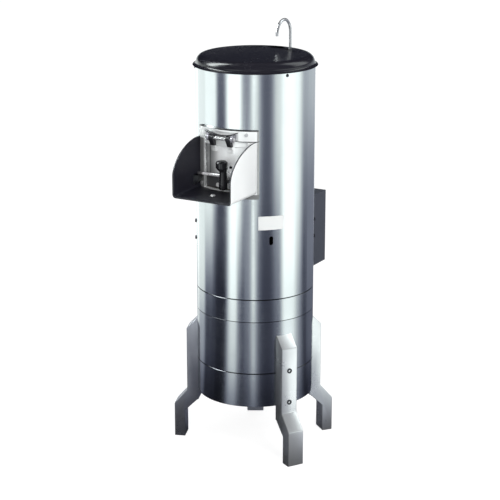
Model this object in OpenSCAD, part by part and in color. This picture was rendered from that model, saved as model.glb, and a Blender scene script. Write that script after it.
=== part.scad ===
// Floor-standing electric potato peeler: a round drum on four cranked legs, with a
// loose lid, a cast outlet with a top-hung door, and a belt-driven abrasive disc inside.
// All sizes are millimetres. Bearings are angles seen from above, from the outlet's
// direction (-Y) towards +X. The floor is z = 0.

/* [Body] */
// Outside radius of the round body
body_r = 152.5; // [146:0.5:165]
// Wall of the drum's sheet
drum_wall = 2; // [1.5:0.1:3]
// Wall of the base ring, the pedestal and the collar
base_wall = 3; // [2:0.1:4]
// Height of the body's lower edge above the floor
leg_room = 147.5; // [142:0.5:180]
// Height of the base ring
base_ring_h = 90.5; // [80:0.5:110]
// Height of the pedestal shell
pedestal_h = 140; // [125:0.5:160]
// Height of the collar shell
collar_h = 59.5; // [50:0.5:70]
// Height of the drum
drum_h = 578.5; // [570:0.5:600]
// How far each shell's spigot reaches up into the next shell
spigot_h = 24; // [22:0.5:30]
// Chamfer at the seams between the shells
seam_cut = 1; // [0.4:0.1:1.5]
// Thickness of the bottom plate
bottom_plate_t = 3; // [2:0.5:5]
// Radius of each air hole in the bottom plate
air_hole_r = 9; // [5:0.5:12]

/* [Legs] */
// Width of a leg
leg_w = 45.7; // [38:0.1:55]
// Thickness of a leg, measured outwards
leg_t = 28.5; // [24:0.1:34]
// How far the foot steps out from the upright
leg_step = 35; // [26:0.5:45]
// Height of the leg's upper end above the base ring
leg_rise = 100; // [85:0.5:115]
// Height of the outer knee above the floor
knee_z = 134; // [128:0.5:140]
// Height of the outer ankle above the floor
ankle_z = 94; // [85:0.5:100]
// How much lower the inner knee lies
knee_drop = 26; // [20:0.5:30]
// How much lower the inner ankle lies
ankle_drop = 20; // [14:0.5:24]
// Turn of the set of legs against the outlet
leg_set_turn = -5.5; // [-10:0.5:10]
// Bearing of the front pair, either side of the set's middle
front_leg_bearing = 64; // [58:0.5:70]
// Bearing of the rear pair, either side of the set's middle
rear_leg_bearing = 145.5; // [138:0.5:150]
// Shank radius of a leg bolt
leg_bolt_r = 4; // [3:0.5:5]
// Head radius of a leg bolt
leg_bolt_head_r = 6.5; // [6:0.5:8]
// Head height of a leg bolt
leg_bolt_head_h = 8; // [6:0.5:10]
// Depth of the recess round a leg bolt's head
leg_bolt_recess = 6; // [3:0.5:9]
// Height of the upper bolts above the base ring's top
upper_bolt_up = 12; // [10:0.5:14]
// Height of the lower bolts above the body's lower edge
lower_bolt_up = 16.5; // [12:0.5:30]

/* [Outlet] */
// Height of the tray's underside above the drum's lower edge
outlet_up = 279; // [275:0.5:284]
// Half of the tray's outside width
tray_half_w = 83.4; // [80:0.1:90]
// How far the tray reaches out from the body
tray_out = 115.5; // [100:0.5:130]
// Wall of the cast tray
tray_wall = 4; // [3:0.1:5]
// Height of the cheeks' upright front edge
cheek_front_h = 55.5; // [45:0.5:62]
// How far the cheeks rise above that in their curve
cheek_rise = 77; // [68:0.5:84]
// Where the curve of the cheeks starts, measured inwards from the front edge
cheek_curve = 118; // [100:0.5:122]
// Fullness of the cheeks' curve
cheek_power = 1.75; // [1.5:0.05:2.5]
// Radius of the tray's long lower corners
tray_corner_r = 9; // [5:0.5:14]
// Thickness of the saddle frame at its rim
frame_t = 8.5; // [7:0.1:10]
// Thickness of the saddle frame in its recess
frame_web_t = 2; // [1.5:0.1:3]
// How far the frame reaches below the tray
frame_below = 12.5; // [8:0.5:16]
// Height of the frame's upper edge above the tray's underside
frame_top_up = 160; // [155:0.5:166]
// Thickness of the frame's upper rim
frame_rim = 5; // [4:0.5:7]
// Height of the solid bar at the top of the frame
frame_bar_h = 27.5; // [27:0.5:36]
// Left end of the recess for the hinge
recess_left = 66; // [60:0.5:70]
// Right end of the recess for the hinge
recess_right = 40; // [38:0.5:50]
// Half of the outlet window's width
window_half_w = 62; // [58:0.5:66]
// Height of the window's sill above the tray's underside
window_sill_up = 5.8; // [5:0.1:8]
// Height of the window's head above the tray's underside
window_top_up = 117.5; // [108:0.5:118]

/* [Door] */
// Thickness of the curved door
door_t = 4; // [3:0.1:5]
// How far the door's outer face stands proud of the body
door_proud = 1; // [0.5:0.1:2]
// Side clearance between the door and the window
door_side_gap = 1; // [0.8:0.1:2]
// Clearance over the door
door_top_gap = 1; // [0.8:0.1:2]
// Clearance under the door
door_sill_gap = 3.2; // [3:0.1:5]
// Height of the hinge pin above the tray's underside
hinge_up = 138.5; // [136:0.5:142]
// How far the hinge pin stands out from the body
hinge_out = 13.5; // [12.5:0.1:15]
// Radius of the hinge pin
hinge_pin_r = 4; // [3:0.1:4.5]
// Outside radius of the hinge's knuckles
knuckle_r = 7.5; // [7:0.1:8]
// Middles of the door's two arms, from the outlet's middle line
arm_left_x = -30; // [-32:0.5:-28]
arm_right_x = 18; // [16:0.5:20]
// Width of a door arm
arm_w = 12; // [9:0.5:13]
// Left and right middles of the frame's two hinge lugs
lug_left_x = -39.6; // [-41:0.1:-39]
lug_right_x = 28.5; // [28:0.5:32]
// Width of a hinge lug
lug_w = 6; // [5:0.5:7]
// Width of the leaf spring over the hinge
spring_w = 9; // [6:0.5:10]
// Thickness of the leaf spring
spring_t = 2; // [1.2:0.1:2.5]
// How far the leaf spring's ends curl up
spring_curl = 10; // [9.5:0.1:10.5]

/* [Latch] */
// The latch pivot's distance from the outlet's middle line
latch_x = 7; // [4:0.5:10]
// Height of the latch pivot above the tray's underside
latch_up = 44; // [41:0.5:47]
// Radius of the latch pivot
latch_pivot_r = 5; // [4:0.1:6]
// Radius of the turning hub
latch_hub_r = 12; // [10:0.5:14]
// Depth of the turning hub
latch_hub_d = 16; // [12:0.5:18]
// Radius of the latch bar
latch_bar_r = 4; // [3:0.1:5]
// Length of the latch bar from the pivot
latch_bar_l = 80; // [76:0.5:82]
// Radius of the grip's head
grip_head_r = 15; // [12:0.5:17]
// Radius of the grip's stem
grip_stem_r = 10; // [8:0.5:12]
// Height of the grip above the pivot
grip_above = 43; // [36:0.5:48]
// Depth of the grip below the pivot
grip_below = 33; // [28:0.5:36]
// Height of the grip's head
grip_head_h = 24; // [18:0.5:28]

/* [Lid] */
// How far the lid's flange reaches past the body
lid_flange_over = 6.5; // [6:0.5:15]
// How far the lid's upright wall stands inside the body's radius
lid_wall_in = 2; // [0:0.5:6]
// Height of the lid above the drum's rim
lid_h = 27.5; // [27:0.5:33]
// Radius of the lid's shoulder
lid_shoulder_r = 19.5; // [8:0.5:20]
// Thickness of the lid
lid_t = 3.5; // [2.5:0.1:4.5]
// Depth of the skirt that drops into the drum
lid_skirt_h = 14; // [10:0.5:15]
// Radius of the water inlet in the lid
lid_inlet_r = 12; // [9:0.5:15]
// Radius of the dished funnel round the inlet
lid_funnel_r = 19; // [18:0.5:24]

/* [Chamber] */
// Thickness of the abrasive liner
liner_t = 3.6; // [3:0.1:4.5]
// Running gap between the peeling disc and the liner
disc_gap = 3.6; // [2:0.1:6]
// Thickness of the disc's casting
disc_t = 10; // [8:0.5:12]
// Thickness of the abrasive layer on the disc
grit_t = 4; // [3:0.5:5]
// Height of the waves on the disc
wave_h = 6; // [4:0.5:8]
// Number of waves on the disc
wave_count = 6; // [3:1:8]
// Depth of the drain pan
pan_h = 28; // [26:0.5:32]
// Thickness of the drain pan's floor
pan_floor_t = 5; // [4:0.5:6]
// Outside radius of the waste pipe
waste_r = 25; // [20:0.5:26]
// Wall of the waste pipe
waste_wall = 2.5; // [2:0.1:3.5]
// Bearing of the waste outlet
waste_bearing = -120; // [-125:0.5:-112]
// How far the waste spigot stands out from the body
waste_out = 62; // [50:0.5:75]

/* [Drive] */
// Radius of the spindle
spindle_r = 10; // [9:0.5:11]
// Radius of the spindle's threaded end
spindle_thread_r = 6; // [5:0.5:7]
// Outside radius of the ball bearings
ball_bearing_r = 23.5; // [22:0.5:26]
// Height of a ball bearing
ball_bearing_h = 14; // [12:0.5:16]
// Radius of the bearing housing
housing_r = 40; // [36:0.5:44]
// Radius of the bearing housing's flange
housing_flange_r = 68; // [60:0.5:72]
// Length of the bearing housing
housing_h = 72; // [68:0.5:76]
// Clearance between the rims of the two pulleys
pulley_gap = 8; // [5:0.5:12]
// Radius of the motor's pulley
small_pulley_r = 22; // [20:0.5:24]
// Height of both pulleys
pulley_h = 24; // [20:0.5:26]
// Width of the belt at its back
belt_w = 10; // [8:0.5:12]
// Thickness of the belt
belt_t = 6; // [5:0.5:8]
// Clearance between the motor and the shells
motor_gap = 2.5; // [2:0.1:5]
// Radius of the motor's shaft
motor_shaft_r = 7; // [6:0.5:8]
// Radius of the motor's body
motor_r = 48; // [44:0.5:49]
// Height of the motor's body
motor_h = 176; // [150:0.5:190]
// Height of the motor's fan cover
fan_cover_h = 34; // [28:0.5:40]
// Thickness of the motor plate
motor_plate_t = 6; // [5:0.5:8]

/* [Water] */
// How far the water pipe stands out from the body
pipe_out = 33.7; // [30:0.1:38]
// Radius of the water pipe
pipe_r = 4; // [3:0.1:4.5]
// Wall of the water pipe
pipe_wall = 1; // [0.7:0.1:1.2]
// Radius of the swan neck's bend
bend_r = 36.3; // [34:0.1:40]
// Height of the bend's centre above the drum's rim
bend_up = 57.5; // [56:0.5:74]
// How far the spout hangs below the bend's centre
spout_drop = 2; // [1:0.5:6]
// Depth of the swivel below the drum's rim
swivel_down = 26; // [22:0.5:40]
// Height of the valve's middle above the control box
valve_up = 51.5; // [48:0.5:80]
// Radius of the valve's body
valve_r = 13; // [11:0.5:15]
// Height of the lower clip above the valve
clip_above_valve = 100; // [70:1:120]
// How far the upper clip lies below the swivel
clip_below_swivel = 58; // [45:1:90]
// Thread radius of the water inlet
inlet_thread_r = 13.2; // [10:0.1:14]
// Length of the water inlet's thread
inlet_thread_l = 22; // [16:0.5:26]

/* [Controls] */
// Width of the control box
box_w = 180; // [160:1:190]
// Height of the control box
box_h = 195; // [185:1:205]
// How far the control box stands out from the body
box_out = 73.5; // [66:0.5:82]
// Height of the control box above the drum's lower edge
box_up = 18; // [6:0.5:24]
// Sheet of the control box
box_wall = 2; // [1.5:0.1:3]
// Radius of a push button
button_r = 11; // [9:0.5:13]
// Travel of a push button
button_travel = 4; // [3:0.5:5]
// Radius of the timer's knob
knob_r = 20; // [17:0.5:24]
// Height of the timer's knob
knob_h = 18; // [14:0.5:20]
// Bore of the cable gland
gland_bore_r = 5; // [4:0.1:6]
// Width of the contactor
contactor_w = 60; // [45:1:70]
// Height of the contactor
contactor_h = 80; // [60:1:90]
// Height of the contactor above the box's floor
contactor_up = 50; // [40:1:60]
// Distance of each push button from the box's middle line
button_x = 36; // [28:0.5:50]
// How far the push buttons lie below the box's top
button_down = 55; // [40:0.5:65]
// Height of the knob above the box's floor
knob_up = 75; // [60:0.5:85]

/* [Nameplate and slot] */
// Bearing of the nameplate and the slot
plate_bearing = 44.7; // [40:0.1:50]
// Height of the nameplate's middle above the drum's lower edge
plate_up = 202.5; // [190:0.5:215]
// Width of the nameplate
plate_w = 66; // [50:0.5:80]
// Height of the nameplate
plate_h = 35; // [25:0.5:40]
// Height of the slot's middle above the drum's lower edge
slot_up = 156.5; // [145:0.5:165]
// Width of the slot
slot_w = 10; // [8:0.5:12]
// Height of the slot
slot_h = 23; // [18:0.5:28]

/* [Fits] */
// Gap between pieces that are fastened to each other
seat = 0.1; // [0.05:0.01:0.3]
// Radial clearance of a turning shaft
run = 0.05; // [0.02:0.01:0.1]
// Radial clearance of a fastener in its hole
hole_slack = 0.5; // [0.3:0.1:1]
// Free gap between pieces that move past each other
free_gap = 0.5; // [0.3:0.1:1]

/* [Hidden] */
$fn = 96;
axis_x = 7;
axis_y = 11;

base_z = leg_room;
pedestal_z = base_z + base_ring_h;
collar_z = pedestal_z + pedestal_h;
drum_z = collar_z + collar_h;
rim_z = drum_z + drum_h;
drum_in = body_r - drum_wall;
base_in = body_r - base_wall;
leg_out = body_r + leg_t;
leg_top_z = pedestal_z + leg_rise;
foot_out = leg_out + leg_step;
upper_bolt_z = pedestal_z + upper_bolt_up;
lower_bolt_z = base_z + lower_bolt_up;
leg_bearings = [for (a = [-front_leg_bearing, front_leg_bearing, rear_leg_bearing, -rear_leg_bearing])
    a + leg_set_turn];

tray_z = drum_z + outlet_up;
tray_front = body_r + tray_out;
frame_r = body_r + frame_t;
frame_top_z = tray_z + frame_top_up;
bar_bottom_z = frame_top_z - frame_bar_h;
sill_z = tray_z + window_sill_up;
head_z = tray_z + window_top_up;
hinge_z = tray_z + hinge_up;
hinge_y = -(body_r + hinge_out);
spring_x = (lug_left_x + lug_right_x) / 2 + 1.5;
spring_half = (lug_right_x - lug_left_x) / 2 + 11;
door_r = body_r + door_proud;
door_half_w = window_half_w - door_side_gap;
door_bottom_z = sill_z + door_sill_gap;
door_top_z = head_z - door_top_gap;
latch_z = tray_z + latch_up;
lid_flange_r = body_r + lid_flange_over;
lid_wall_r = body_r - lid_wall_in;
hub_back = door_r + 4;
hub_front = hub_back + latch_hub_d;
grip_out = hub_front + grip_stem_r - 2;
bar_out = hub_back + latch_hub_d / 2;

disc_top_z = sill_z - 0.5;
disc_z = disc_top_z - grit_t - disc_t;
pan_top_z = disc_z - 2;
pan_z = pan_top_z - pan_h;
pan_r = drum_in - seat;
pan_hub_r = 28;
seal_r = spindle_r + 7.5;
seal_h = 8;
housing_z = pan_z - seat - housing_h;
housing_flange_h = 10;
bearing_inset = 3;
lower_bearing_z = housing_z + bearing_inset;
upper_bearing_z = housing_z + housing_h - housing_flange_h - bearing_inset - ball_bearing_h;
motor_offset = base_in - base_wall - motor_r - motor_gap;
big_pulley_r = motor_offset - small_pulley_r - pulley_gap;
pulley_z = housing_z - 10 - pulley_h;
spindle_bottom_z = pulley_z - 6;
plate_z = pulley_z - 22 - motor_plate_t;
motor_top_z = plate_z - seat;
motor_flange_h = 10;
motor_z = motor_top_z - motor_h;
belt_z = pulley_z + pulley_h / 2;
liner_r = drum_in - seat - 0.2;
liner_in = liner_r - liner_t;
disc_r = liner_in - disc_gap;
seat_ring_h = 13;
seat_ring_in = drum_in - seat - 3;
liner_top_z = rim_z - 1 - seat_ring_h - 0.5;
elbow_r = 38;
waste_z = pan_z - elbow_r - 6;
waste_bend_r = waste_r - 1;
waste_drop_r = drum_in - waste_r - 12;
hanger_bearings = [-58, 122];
hanger_h = 72;
hanger_screw_ups = [14, 59];
hanger_t = 5;
hanger_z = plate_z + motor_plate_t + seat;

pipe_y = body_r + pipe_out;
bend_z = rim_z + bend_up;
swivel_z = rim_z - swivel_down;
box_z = drum_z + box_up;
box_top_z = box_z + box_h;
box_y = body_r + box_out;
valve_z = box_top_z + valve_up;
valve_h = 44;
clip_zs = [valve_z + clip_above_valve, swivel_z - clip_below_swivel];
button_z = box_top_z - button_down;
button_proud = 8;
knob_z = box_z + knob_up;
nameplate_z = drum_z + plate_up;
slot_z = drum_z + slot_up;
seat_screw_bearings = [60.4, 180.4, -59.6];
seat_screw_z = rim_z - 6;

// Bearing, height and seat of each screw of the saddle frame
outlet_screw_r = 2.5;
outlet_screw_head_r = 4.5;
function frame_bearing(x) = asin(x / frame_r);
web_screw_x = -51.1;
bar_screw_x = 59;
foot_screw_x = tray_half_w - tray_wall - outlet_screw_head_r - 1.8;
outlet_screws = [[frame_bearing(web_screw_x), bar_bottom_z + 6, body_r + frame_web_t],
    [frame_bearing(bar_screw_x), bar_bottom_z + 18, frame_r],
    [frame_bearing(-foot_screw_x), tray_z + 14, frame_r], [frame_bearing(foot_screw_x), tray_z + 14, frame_r]];

// ---- shared shapes ----

// Places children, drawn about the body's axis, in the part's frame
module at_axis() translate([axis_x, axis_y, 0]) children();

// Turns children drawn towards -Y to a bearing
module bearing(a) rotate([0, 0, a]) children();

// A rod that runs outwards at a bearing and a height
module radial_rod(a, z, r, from, to)
    bearing(a) translate([0, -from, z]) rotate([90, 0, 0]) cylinder(r = r, h = to - from);

// A hexagon nut on a radial axis
module radial_nut(a, z, r, bore, from, to)
    bearing(a) translate([0, -from, z]) rotate([90, 0, 0]) difference() {
        cylinder(r = r, h = to - from, $fn = 6);
        translate([0, 0, -1]) cylinder(r = bore, h = to - from + 2);
    }

// A plain tube between two heights
module tube(r_out, r_in, z0, z1)
    translate([0, 0, z0]) difference() {
        cylinder(r = r_out, h = z1 - z0);
        translate([0, 0, -1]) cylinder(r = r_in, h = z1 - z0 + 2);
    }

// A round plate with the body's curvature, limited in width and height at a bearing
module saddle(a, half_w, r_in, r_out, z0, z1)
    bearing(a) intersection() {
        tube(r_out, r_in, z0, z1);
        translate([-half_w, -r_out - 1, z0]) cube([2 * half_w, r_out + 1, z1 - z0]);
    }

// A block in front of the body, between two widths, distances out and heights
module front_block(x0, x1, out0, out1, z0, z1)
    translate([x0, -out1, z0]) cube([x1 - x0, out1 - out0, z1 - z0]);

// The same behind the body
module rear_block(x0, x1, out0, out1, z0, z1)
    translate([x0, out0, z0]) cube([x1 - x0, out1 - out0, z1 - z0]);

// A profile of distance out and height, drawn across a width towards -Y
module side_profile(w)
    rotate([90, 0, -90]) linear_extrude(w, center = true) children();

// ---- body shells ----

module leg_bolt_holes(r)
    for (a = leg_bearings, z = [lower_bolt_z, upper_bolt_z])
        radial_rod(a, z, r, body_r / 2, leg_out + 1);

// A round wall whose ends have a small chamfer outside
module seam_wall(r_in, z0, z1, low_cut, high_cut)
    rotate_extrude() polygon([[r_in, z0], [body_r - low_cut, z0], [body_r, z0 + low_cut],
        [body_r, z1 - high_cut], [body_r - high_cut, z1], [r_in, z1]]);

// One shell: the wall, and the spigot that the next shell sits over
module shell(z0, z1, spigot_r, low_cut, high_cut)
    union() {
        seam_wall(base_in, z0, z1, low_cut, high_cut);
        tube(spigot_r, base_in - base_wall, z1 - spigot_h, z1 + spigot_h);
        tube(base_in, base_in - base_wall, z1 - spigot_h, z1 - 0.01);
    }

module base_ring() color("#7d8288")
    difference() {
        shell(base_z, pedestal_z, base_in - seat, seam_cut, seam_cut);
        leg_bolt_holes(leg_bolt_r + hole_slack);
    }

module bottom_plate() color("#6a6e73")
    difference() {
        tube(base_in - seat, 20, base_z + 4, base_z + 4 + bottom_plate_t);
        for (a = [0:30:330], r = [55, 90])
            rotate([0, 0, a]) translate([r, 0, base_z]) cylinder(r = air_hole_r, h = 20);
    }

module pedestal_shell() color("#868b91")
    difference() {
        shell(pedestal_z + seat, collar_z, base_in - seat, seam_cut, seam_cut / 4);
        leg_bolt_holes(leg_bolt_r + hole_slack);
    }

module collar_shell() color("#8b9096")
    shell(collar_z + seat, drum_z, drum_in - seat, seam_cut / 4, seam_cut);

// A hole with round ends, cut through the wall at a bearing
module wall_slot(a, z, w, h)
    union() {
        bearing(a) front_block(-w / 2, w / 2, body_r - 10, body_r + 10, z - (h - w) / 2, z + (h - w) / 2);
        radial_rod(a, z - (h - w) / 2, w / 2, body_r - 10, body_r + 10);
        radial_rod(a, z + (h - w) / 2, w / 2, body_r - 10, body_r + 10);
    }

module window(grow)
    front_block(-window_half_w - grow, window_half_w + grow, body_r / 2, body_r + 30,
        sill_z - grow, head_z + grow);

module drum_shell() color("#b9bec4")
    difference() {
        seam_wall(drum_in, drum_z + seat, rim_z, seam_cut, seam_cut / 2);
        window(0);
        wall_slot(plate_bearing, slot_z, slot_w, slot_h);
        for (a = hanger_bearings, up = hanger_screw_ups)
            radial_rod(a, hanger_z + up, 3 + hole_slack, drum_in - 10, body_r + 5);
        for (a = seat_screw_bearings)
            radial_rod(a, seat_screw_z, 2.5 + hole_slack, drum_in - 10, body_r + 5);
        for (s = outlet_screws)
            radial_rod(s[0], s[1], outlet_screw_r + hole_slack, drum_in - 10, body_r + 5);
        radial_rod(waste_bearing, waste_z, waste_bend_r + hole_slack, drum_in - 10, body_r + 5);
        radial_rod(180, box_z + box_h / 2, 16, drum_in - 10, body_r + 5);
    }

// ---- legs ----

// Side view of a leg: a bevelled top, an upright, a slanted crank and a foot
module leg_outline()
    polygon([[body_r - 4, leg_top_z + 4], [leg_out, leg_top_z - leg_t],
        [leg_out, knee_z], [foot_out, ankle_z], [foot_out, 0], [foot_out - leg_t, 0],
        [foot_out - leg_t, ankle_z - ankle_drop], [body_r, knee_z - knee_drop],
        [body_r - 4, knee_z - knee_drop]]);

module leg(a) color("#a4a8ac")
    difference() {
        bearing(a) side_profile(leg_w) leg_outline();
        cylinder(r = body_r + seat, h = leg_top_z + 10);
        for (z = [lower_bolt_z, upper_bolt_z]) {
            radial_rod(a, z, leg_bolt_r + hole_slack, body_r / 2, leg_out + 1);
            radial_rod(a, z, leg_bolt_head_r + 1, leg_out - leg_bolt_recess, leg_out + 1);
        }
    }

module leg_front_left() leg(leg_bearings[0]);
module leg_front_right() leg(leg_bearings[1]);
module leg_rear_right() leg(leg_bearings[2]);
module leg_rear_left() leg(leg_bearings[3]);

// Socket-head bolts from the outside and nuts inside the shells
module leg_fixings() color("#4a4d52") {
    nut_r = leg_bolt_r * 1.8;
    nut_h = leg_bolt_r * 1.6;
    for (a = leg_bearings, z = [lower_bolt_z, upper_bolt_z]) {
        inside = (z == upper_bolt_z ? base_in - base_wall : base_in) - 0.6;
        head = leg_out - leg_bolt_recess + seat;
        difference() {
            union() {
                radial_rod(a, z, leg_bolt_r, inside - nut_h - 3, head + 1);
                radial_rod(a, z, leg_bolt_head_r, head, head + leg_bolt_head_h);
            }
            bearing(a) translate([0, -head - leg_bolt_head_h / 2, z]) rotate([90, 0, 0])
                cylinder(r = leg_bolt_head_r * 0.55, h = leg_bolt_head_h, $fn = 6);
        }
        radial_nut(a, z, nut_r, leg_bolt_r + run, inside - nut_h, inside);
    }
}

// Screws of the hanger plates and of the lid's seat ring, with their nuts
module shell_screws() color("#5a5d62") {
    for (a = hanger_bearings, up = hanger_screw_ups) {
        z = hanger_z + up;
        radial_rod(a, z, 3, drum_in - hanger_t - 9, body_r + 1);
        bearing(a) translate([0, -body_r - 0.3, z]) rotate([90, 0, 0])
            cylinder(r1 = 5.5, r2 = 4, h = 3.4);
        radial_nut(a, z, 6, 3 + run, drum_in - hanger_t - 6, drum_in - hanger_t - 1);
    }
    for (a = seat_screw_bearings) {
        radial_rod(a, seat_screw_z, 2.5, seat_ring_in + 0.3, body_r + 1);
        bearing(a) translate([0, -body_r - 0.3, seat_screw_z]) rotate([90, 0, 0])
            cylinder(r1 = 4.2, r2 = 3, h = 2);
    }
}

module nameplate() color("#e8e9ea") {
    saddle(plate_bearing, plate_w / 2, body_r + seat, body_r + seat + 0.9,
        nameplate_z - plate_h / 2, nameplate_z + plate_h / 2);
    half_turn = asin((plate_w / 2 - 4) / body_r);
    for (s = [-1, 1], t = [-1, 1])
        radial_rod(plate_bearing + s * half_turn, nameplate_z + t * (plate_h / 2 - 4), 1.6,
            body_r + 1.2, body_r + 2);
}

// ---- outlet ----

module outlet_frame() color("#b4b8bc")
    difference() {
        saddle(0, tray_half_w, body_r + seat, frame_r, tray_z - frame_below, frame_top_z);
        window(0);
        // recess that holds the hinge, and the ledge over the window
        intersection() {
            front_block(-recess_left, recess_right, 0, frame_r + 1,
                bar_bottom_z - 1, frame_top_z - frame_rim);
            tube(frame_r + 1, body_r + frame_web_t, tray_z, frame_top_z);
        }
        intersection() {
            front_block(-window_half_w, window_half_w, 0, frame_r + 1, head_z - 1, bar_bottom_z);
            tube(frame_r + 1, body_r + frame_web_t, tray_z, frame_top_z);
        }
        for (s = outlet_screws)
            radial_rod(s[0], s[1], outlet_screw_r + hole_slack, body_r - 1, frame_r + 1);
    }

// Outline of a cheek: an upright front edge that curves back to the body
module cheek_outline() {
    steps = 20;
    curve_in = tray_front - cheek_curve;
    curve_z = tray_z + cheek_front_h;
    polygon(concat(
        [[body_r * 0.7, tray_z], [tray_front, tray_z]],
        [for (i = [0:steps]) let (t = 90 * i / steps)
            [curve_in + cheek_curve * pow(cos(t), 2 / cheek_power),
             curve_z + cheek_rise * pow(sin(t), 2 / cheek_power)]],
        [[body_r * 0.7, curve_z + cheek_rise]]));
}

// Front view of the tray's wall: a U with round lower corners
module tray_section() {
    h = cheek_front_h + cheek_rise + 5;
    difference() {
        rounded_u(tray_half_w, h, tray_corner_r);
        translate([0, tray_wall])
            rounded_u(tray_half_w - tray_wall, h, tray_corner_r - tray_wall);
    }
}

module rounded_u(half_w, h, r)
    union() {
        translate([-half_w, r]) square([2 * half_w, h - r]);
        translate([-half_w + r, 0]) square([2 * (half_w - r), r + 1]);
        for (s = [-1, 1]) translate([s * (half_w - r), r]) circle(r = r);
    }

module chute_tray() color("#c3c7ca")
    difference() {
        intersection() {
            translate([0, 0, tray_z]) rotate([90, 0, 0]) linear_extrude(tray_front + 1) tray_section();
            side_profile(2 * tray_half_w + 2) cheek_outline();
        }
        translate([0, 0, tray_z - 10]) cylinder(r = frame_r + seat, h = frame_top_up);
        translate([0, -tray_bolt_out, tray_z - 1]) cylinder(r = tray_bolt_r + hole_slack, h = tray_wall + 2);
    }

tray_bolt_out = body_r + 60;
tray_bolt_r = 4;
tray_nut_r = 7.5;
tray_nut_h = 6;
bracket_half_w = 14;
bracket_end = tray_bolt_out + 14;

// Height of the bracket's slanted underside at a distance out
function bracket_under(out) = tray_z - 12 + 6 * (out - body_r - 12) / (bracket_end - body_r - 12);
tray_nut_top = bracket_under(tray_bolt_out - tray_nut_r) - seat;

// Gusset under the tray, screwed to the drum
module tray_bracket() color("#8f9499")
    difference() {
        side_profile(2 * bracket_half_w)
            polygon([[body_r - 2, tray_z - 34], [body_r + 5, tray_z - 34],
                [body_r + 12, tray_z - 12], [bracket_end, tray_z - 6],
                [bracket_end, tray_z - seat], [frame_r + 2, tray_z - seat],
                [frame_r + 2, tray_z - frame_below - 1], [body_r - 2, tray_z - frame_below - 1]]);
        cylinder(r = body_r + seat, h = rim_z);
        translate([0, -tray_bolt_out, tray_z - 20]) cylinder(r = tray_bolt_r + hole_slack, h = 40);
    }

// Round-headed screws of the frame and of the tray
module tray_screws() color("#6c7075") {
    for (s = outlet_screws) {
        radial_rod(s[0], s[1], outlet_screw_r, drum_in + 0.2, s[2] + 1);
        radial_rod(s[0], s[1], outlet_screw_head_r, s[2] + seat, s[2] + 2.4);
    }
    bolt_end = tray_nut_top - tray_nut_h - 1;
    translate([0, -tray_bolt_out, bolt_end]) cylinder(r = tray_bolt_r, h = tray_z + tray_wall + 1 - bolt_end);
    translate([0, -tray_bolt_out, tray_z + tray_wall + seat])
        cylinder(r1 = tray_bolt_r + 3, r2 = tray_bolt_r + 0.5, h = 3);
    translate([0, -tray_bolt_out, tray_nut_top - tray_nut_h]) difference() {
        cylinder(r = tray_nut_r, h = tray_nut_h, $fn = 6);
        translate([0, 0, -1]) cylinder(r = tray_bolt_r + run, h = tray_nut_h + 2);
    }
}

// ---- door hinge ----

// Height of the leaf spring's underside at a share of its half length
function bow_z(share) = hinge_z + knuckle_r - 0.9 + spring_curl * share * share;

// Height of a lug under the leaf spring
function lug_top(x) = bow_z((abs(x - spring_x) - lug_w / 2) / spring_half) - seat;

// The two lugs that carry the hinge pin
module hinge_brackets() color("#3b3a44")
    for (x = [lug_left_x, lug_right_x])
        difference() {
            union() {
                translate([x - lug_w / 2, hinge_y, hinge_z]) rotate([0, 90, 0])
                    cylinder(r = knuckle_r, h = lug_w);
                translate([x, 0, 0]) side_profile(lug_w)
                    polygon([[body_r - 6, bar_bottom_z + 1], [body_r + 8, bar_bottom_z + 1],
                        [-hinge_y + 5, hinge_z - 5], [-hinge_y + 5, hinge_z + 5],
                        [-hinge_y + 3, lug_top(x)], [body_r - 6, lug_top(x)]]);
            }
            cylinder(r = body_r + frame_web_t + seat, h = rim_z);
            translate([x - lug_w, hinge_y, hinge_z]) rotate([0, 90, 0])
                cylinder(r = hinge_pin_r + run, h = 2 * lug_w);
        }

module hinge_pin() color("#c9ccd0") {
    pin_start = lug_left_x - lug_w / 2 - 2;
    pin_end = lug_right_x + lug_w / 2 + 2;
    translate([pin_start, hinge_y, hinge_z]) rotate([0, 90, 0])
        cylinder(r = hinge_pin_r, h = pin_end - pin_start);
    translate([pin_end + seat, hinge_y, hinge_z]) rotate([0, 90, 0])
        cylinder(r1 = hinge_pin_r + 1.5, r2 = hinge_pin_r, h = 2);
}

// Leaf spring over the hinge: its ends curl up, and it rests on both lugs
module hinge_spring() color("#26272c") {
    steps = 24;
    translate([spring_x, hinge_y + 5, 0]) rotate([90, 0, 0]) linear_extrude(spring_w)
        polygon(concat(
            [for (i = [-steps:steps]) [spring_half * i / steps, bow_z(i / steps) + spring_t]],
            [for (i = [steps:-1:-steps]) [spring_half * i / steps, bow_z(i / steps)]]));
}

// ---- door ----

module arm_outline()
    polygon([[door_r - 5, door_top_z - 14], [door_r + 3.5, door_top_z - 14],
        [door_r + 5, door_top_z - 6], [-hinge_y + knuckle_r - 1, hinge_z - 3],
        [-hinge_y + knuckle_r - 3, hinge_z + 2], [-hinge_y - knuckle_r + 1, hinge_z - 1],
        [door_r + 1, door_top_z + 1], [door_r + 1, door_top_z - 0.5],
        [door_r - 5, door_top_z - 0.5]]);

module door_arm(x)
    difference() {
        union() {
            translate([x, 0, 0]) side_profile(arm_w) arm_outline();
            translate([x - arm_w / 2, hinge_y, hinge_z]) rotate([0, 90, 0])
                cylinder(r = knuckle_r, h = arm_w);
        }
        cylinder(r = door_r - door_t / 2, h = rim_z);
        translate([x - arm_w, hinge_y, hinge_z]) rotate([0, 90, 0])
            cylinder(r = hinge_pin_r + run, h = 2 * arm_w);
    }

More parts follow.
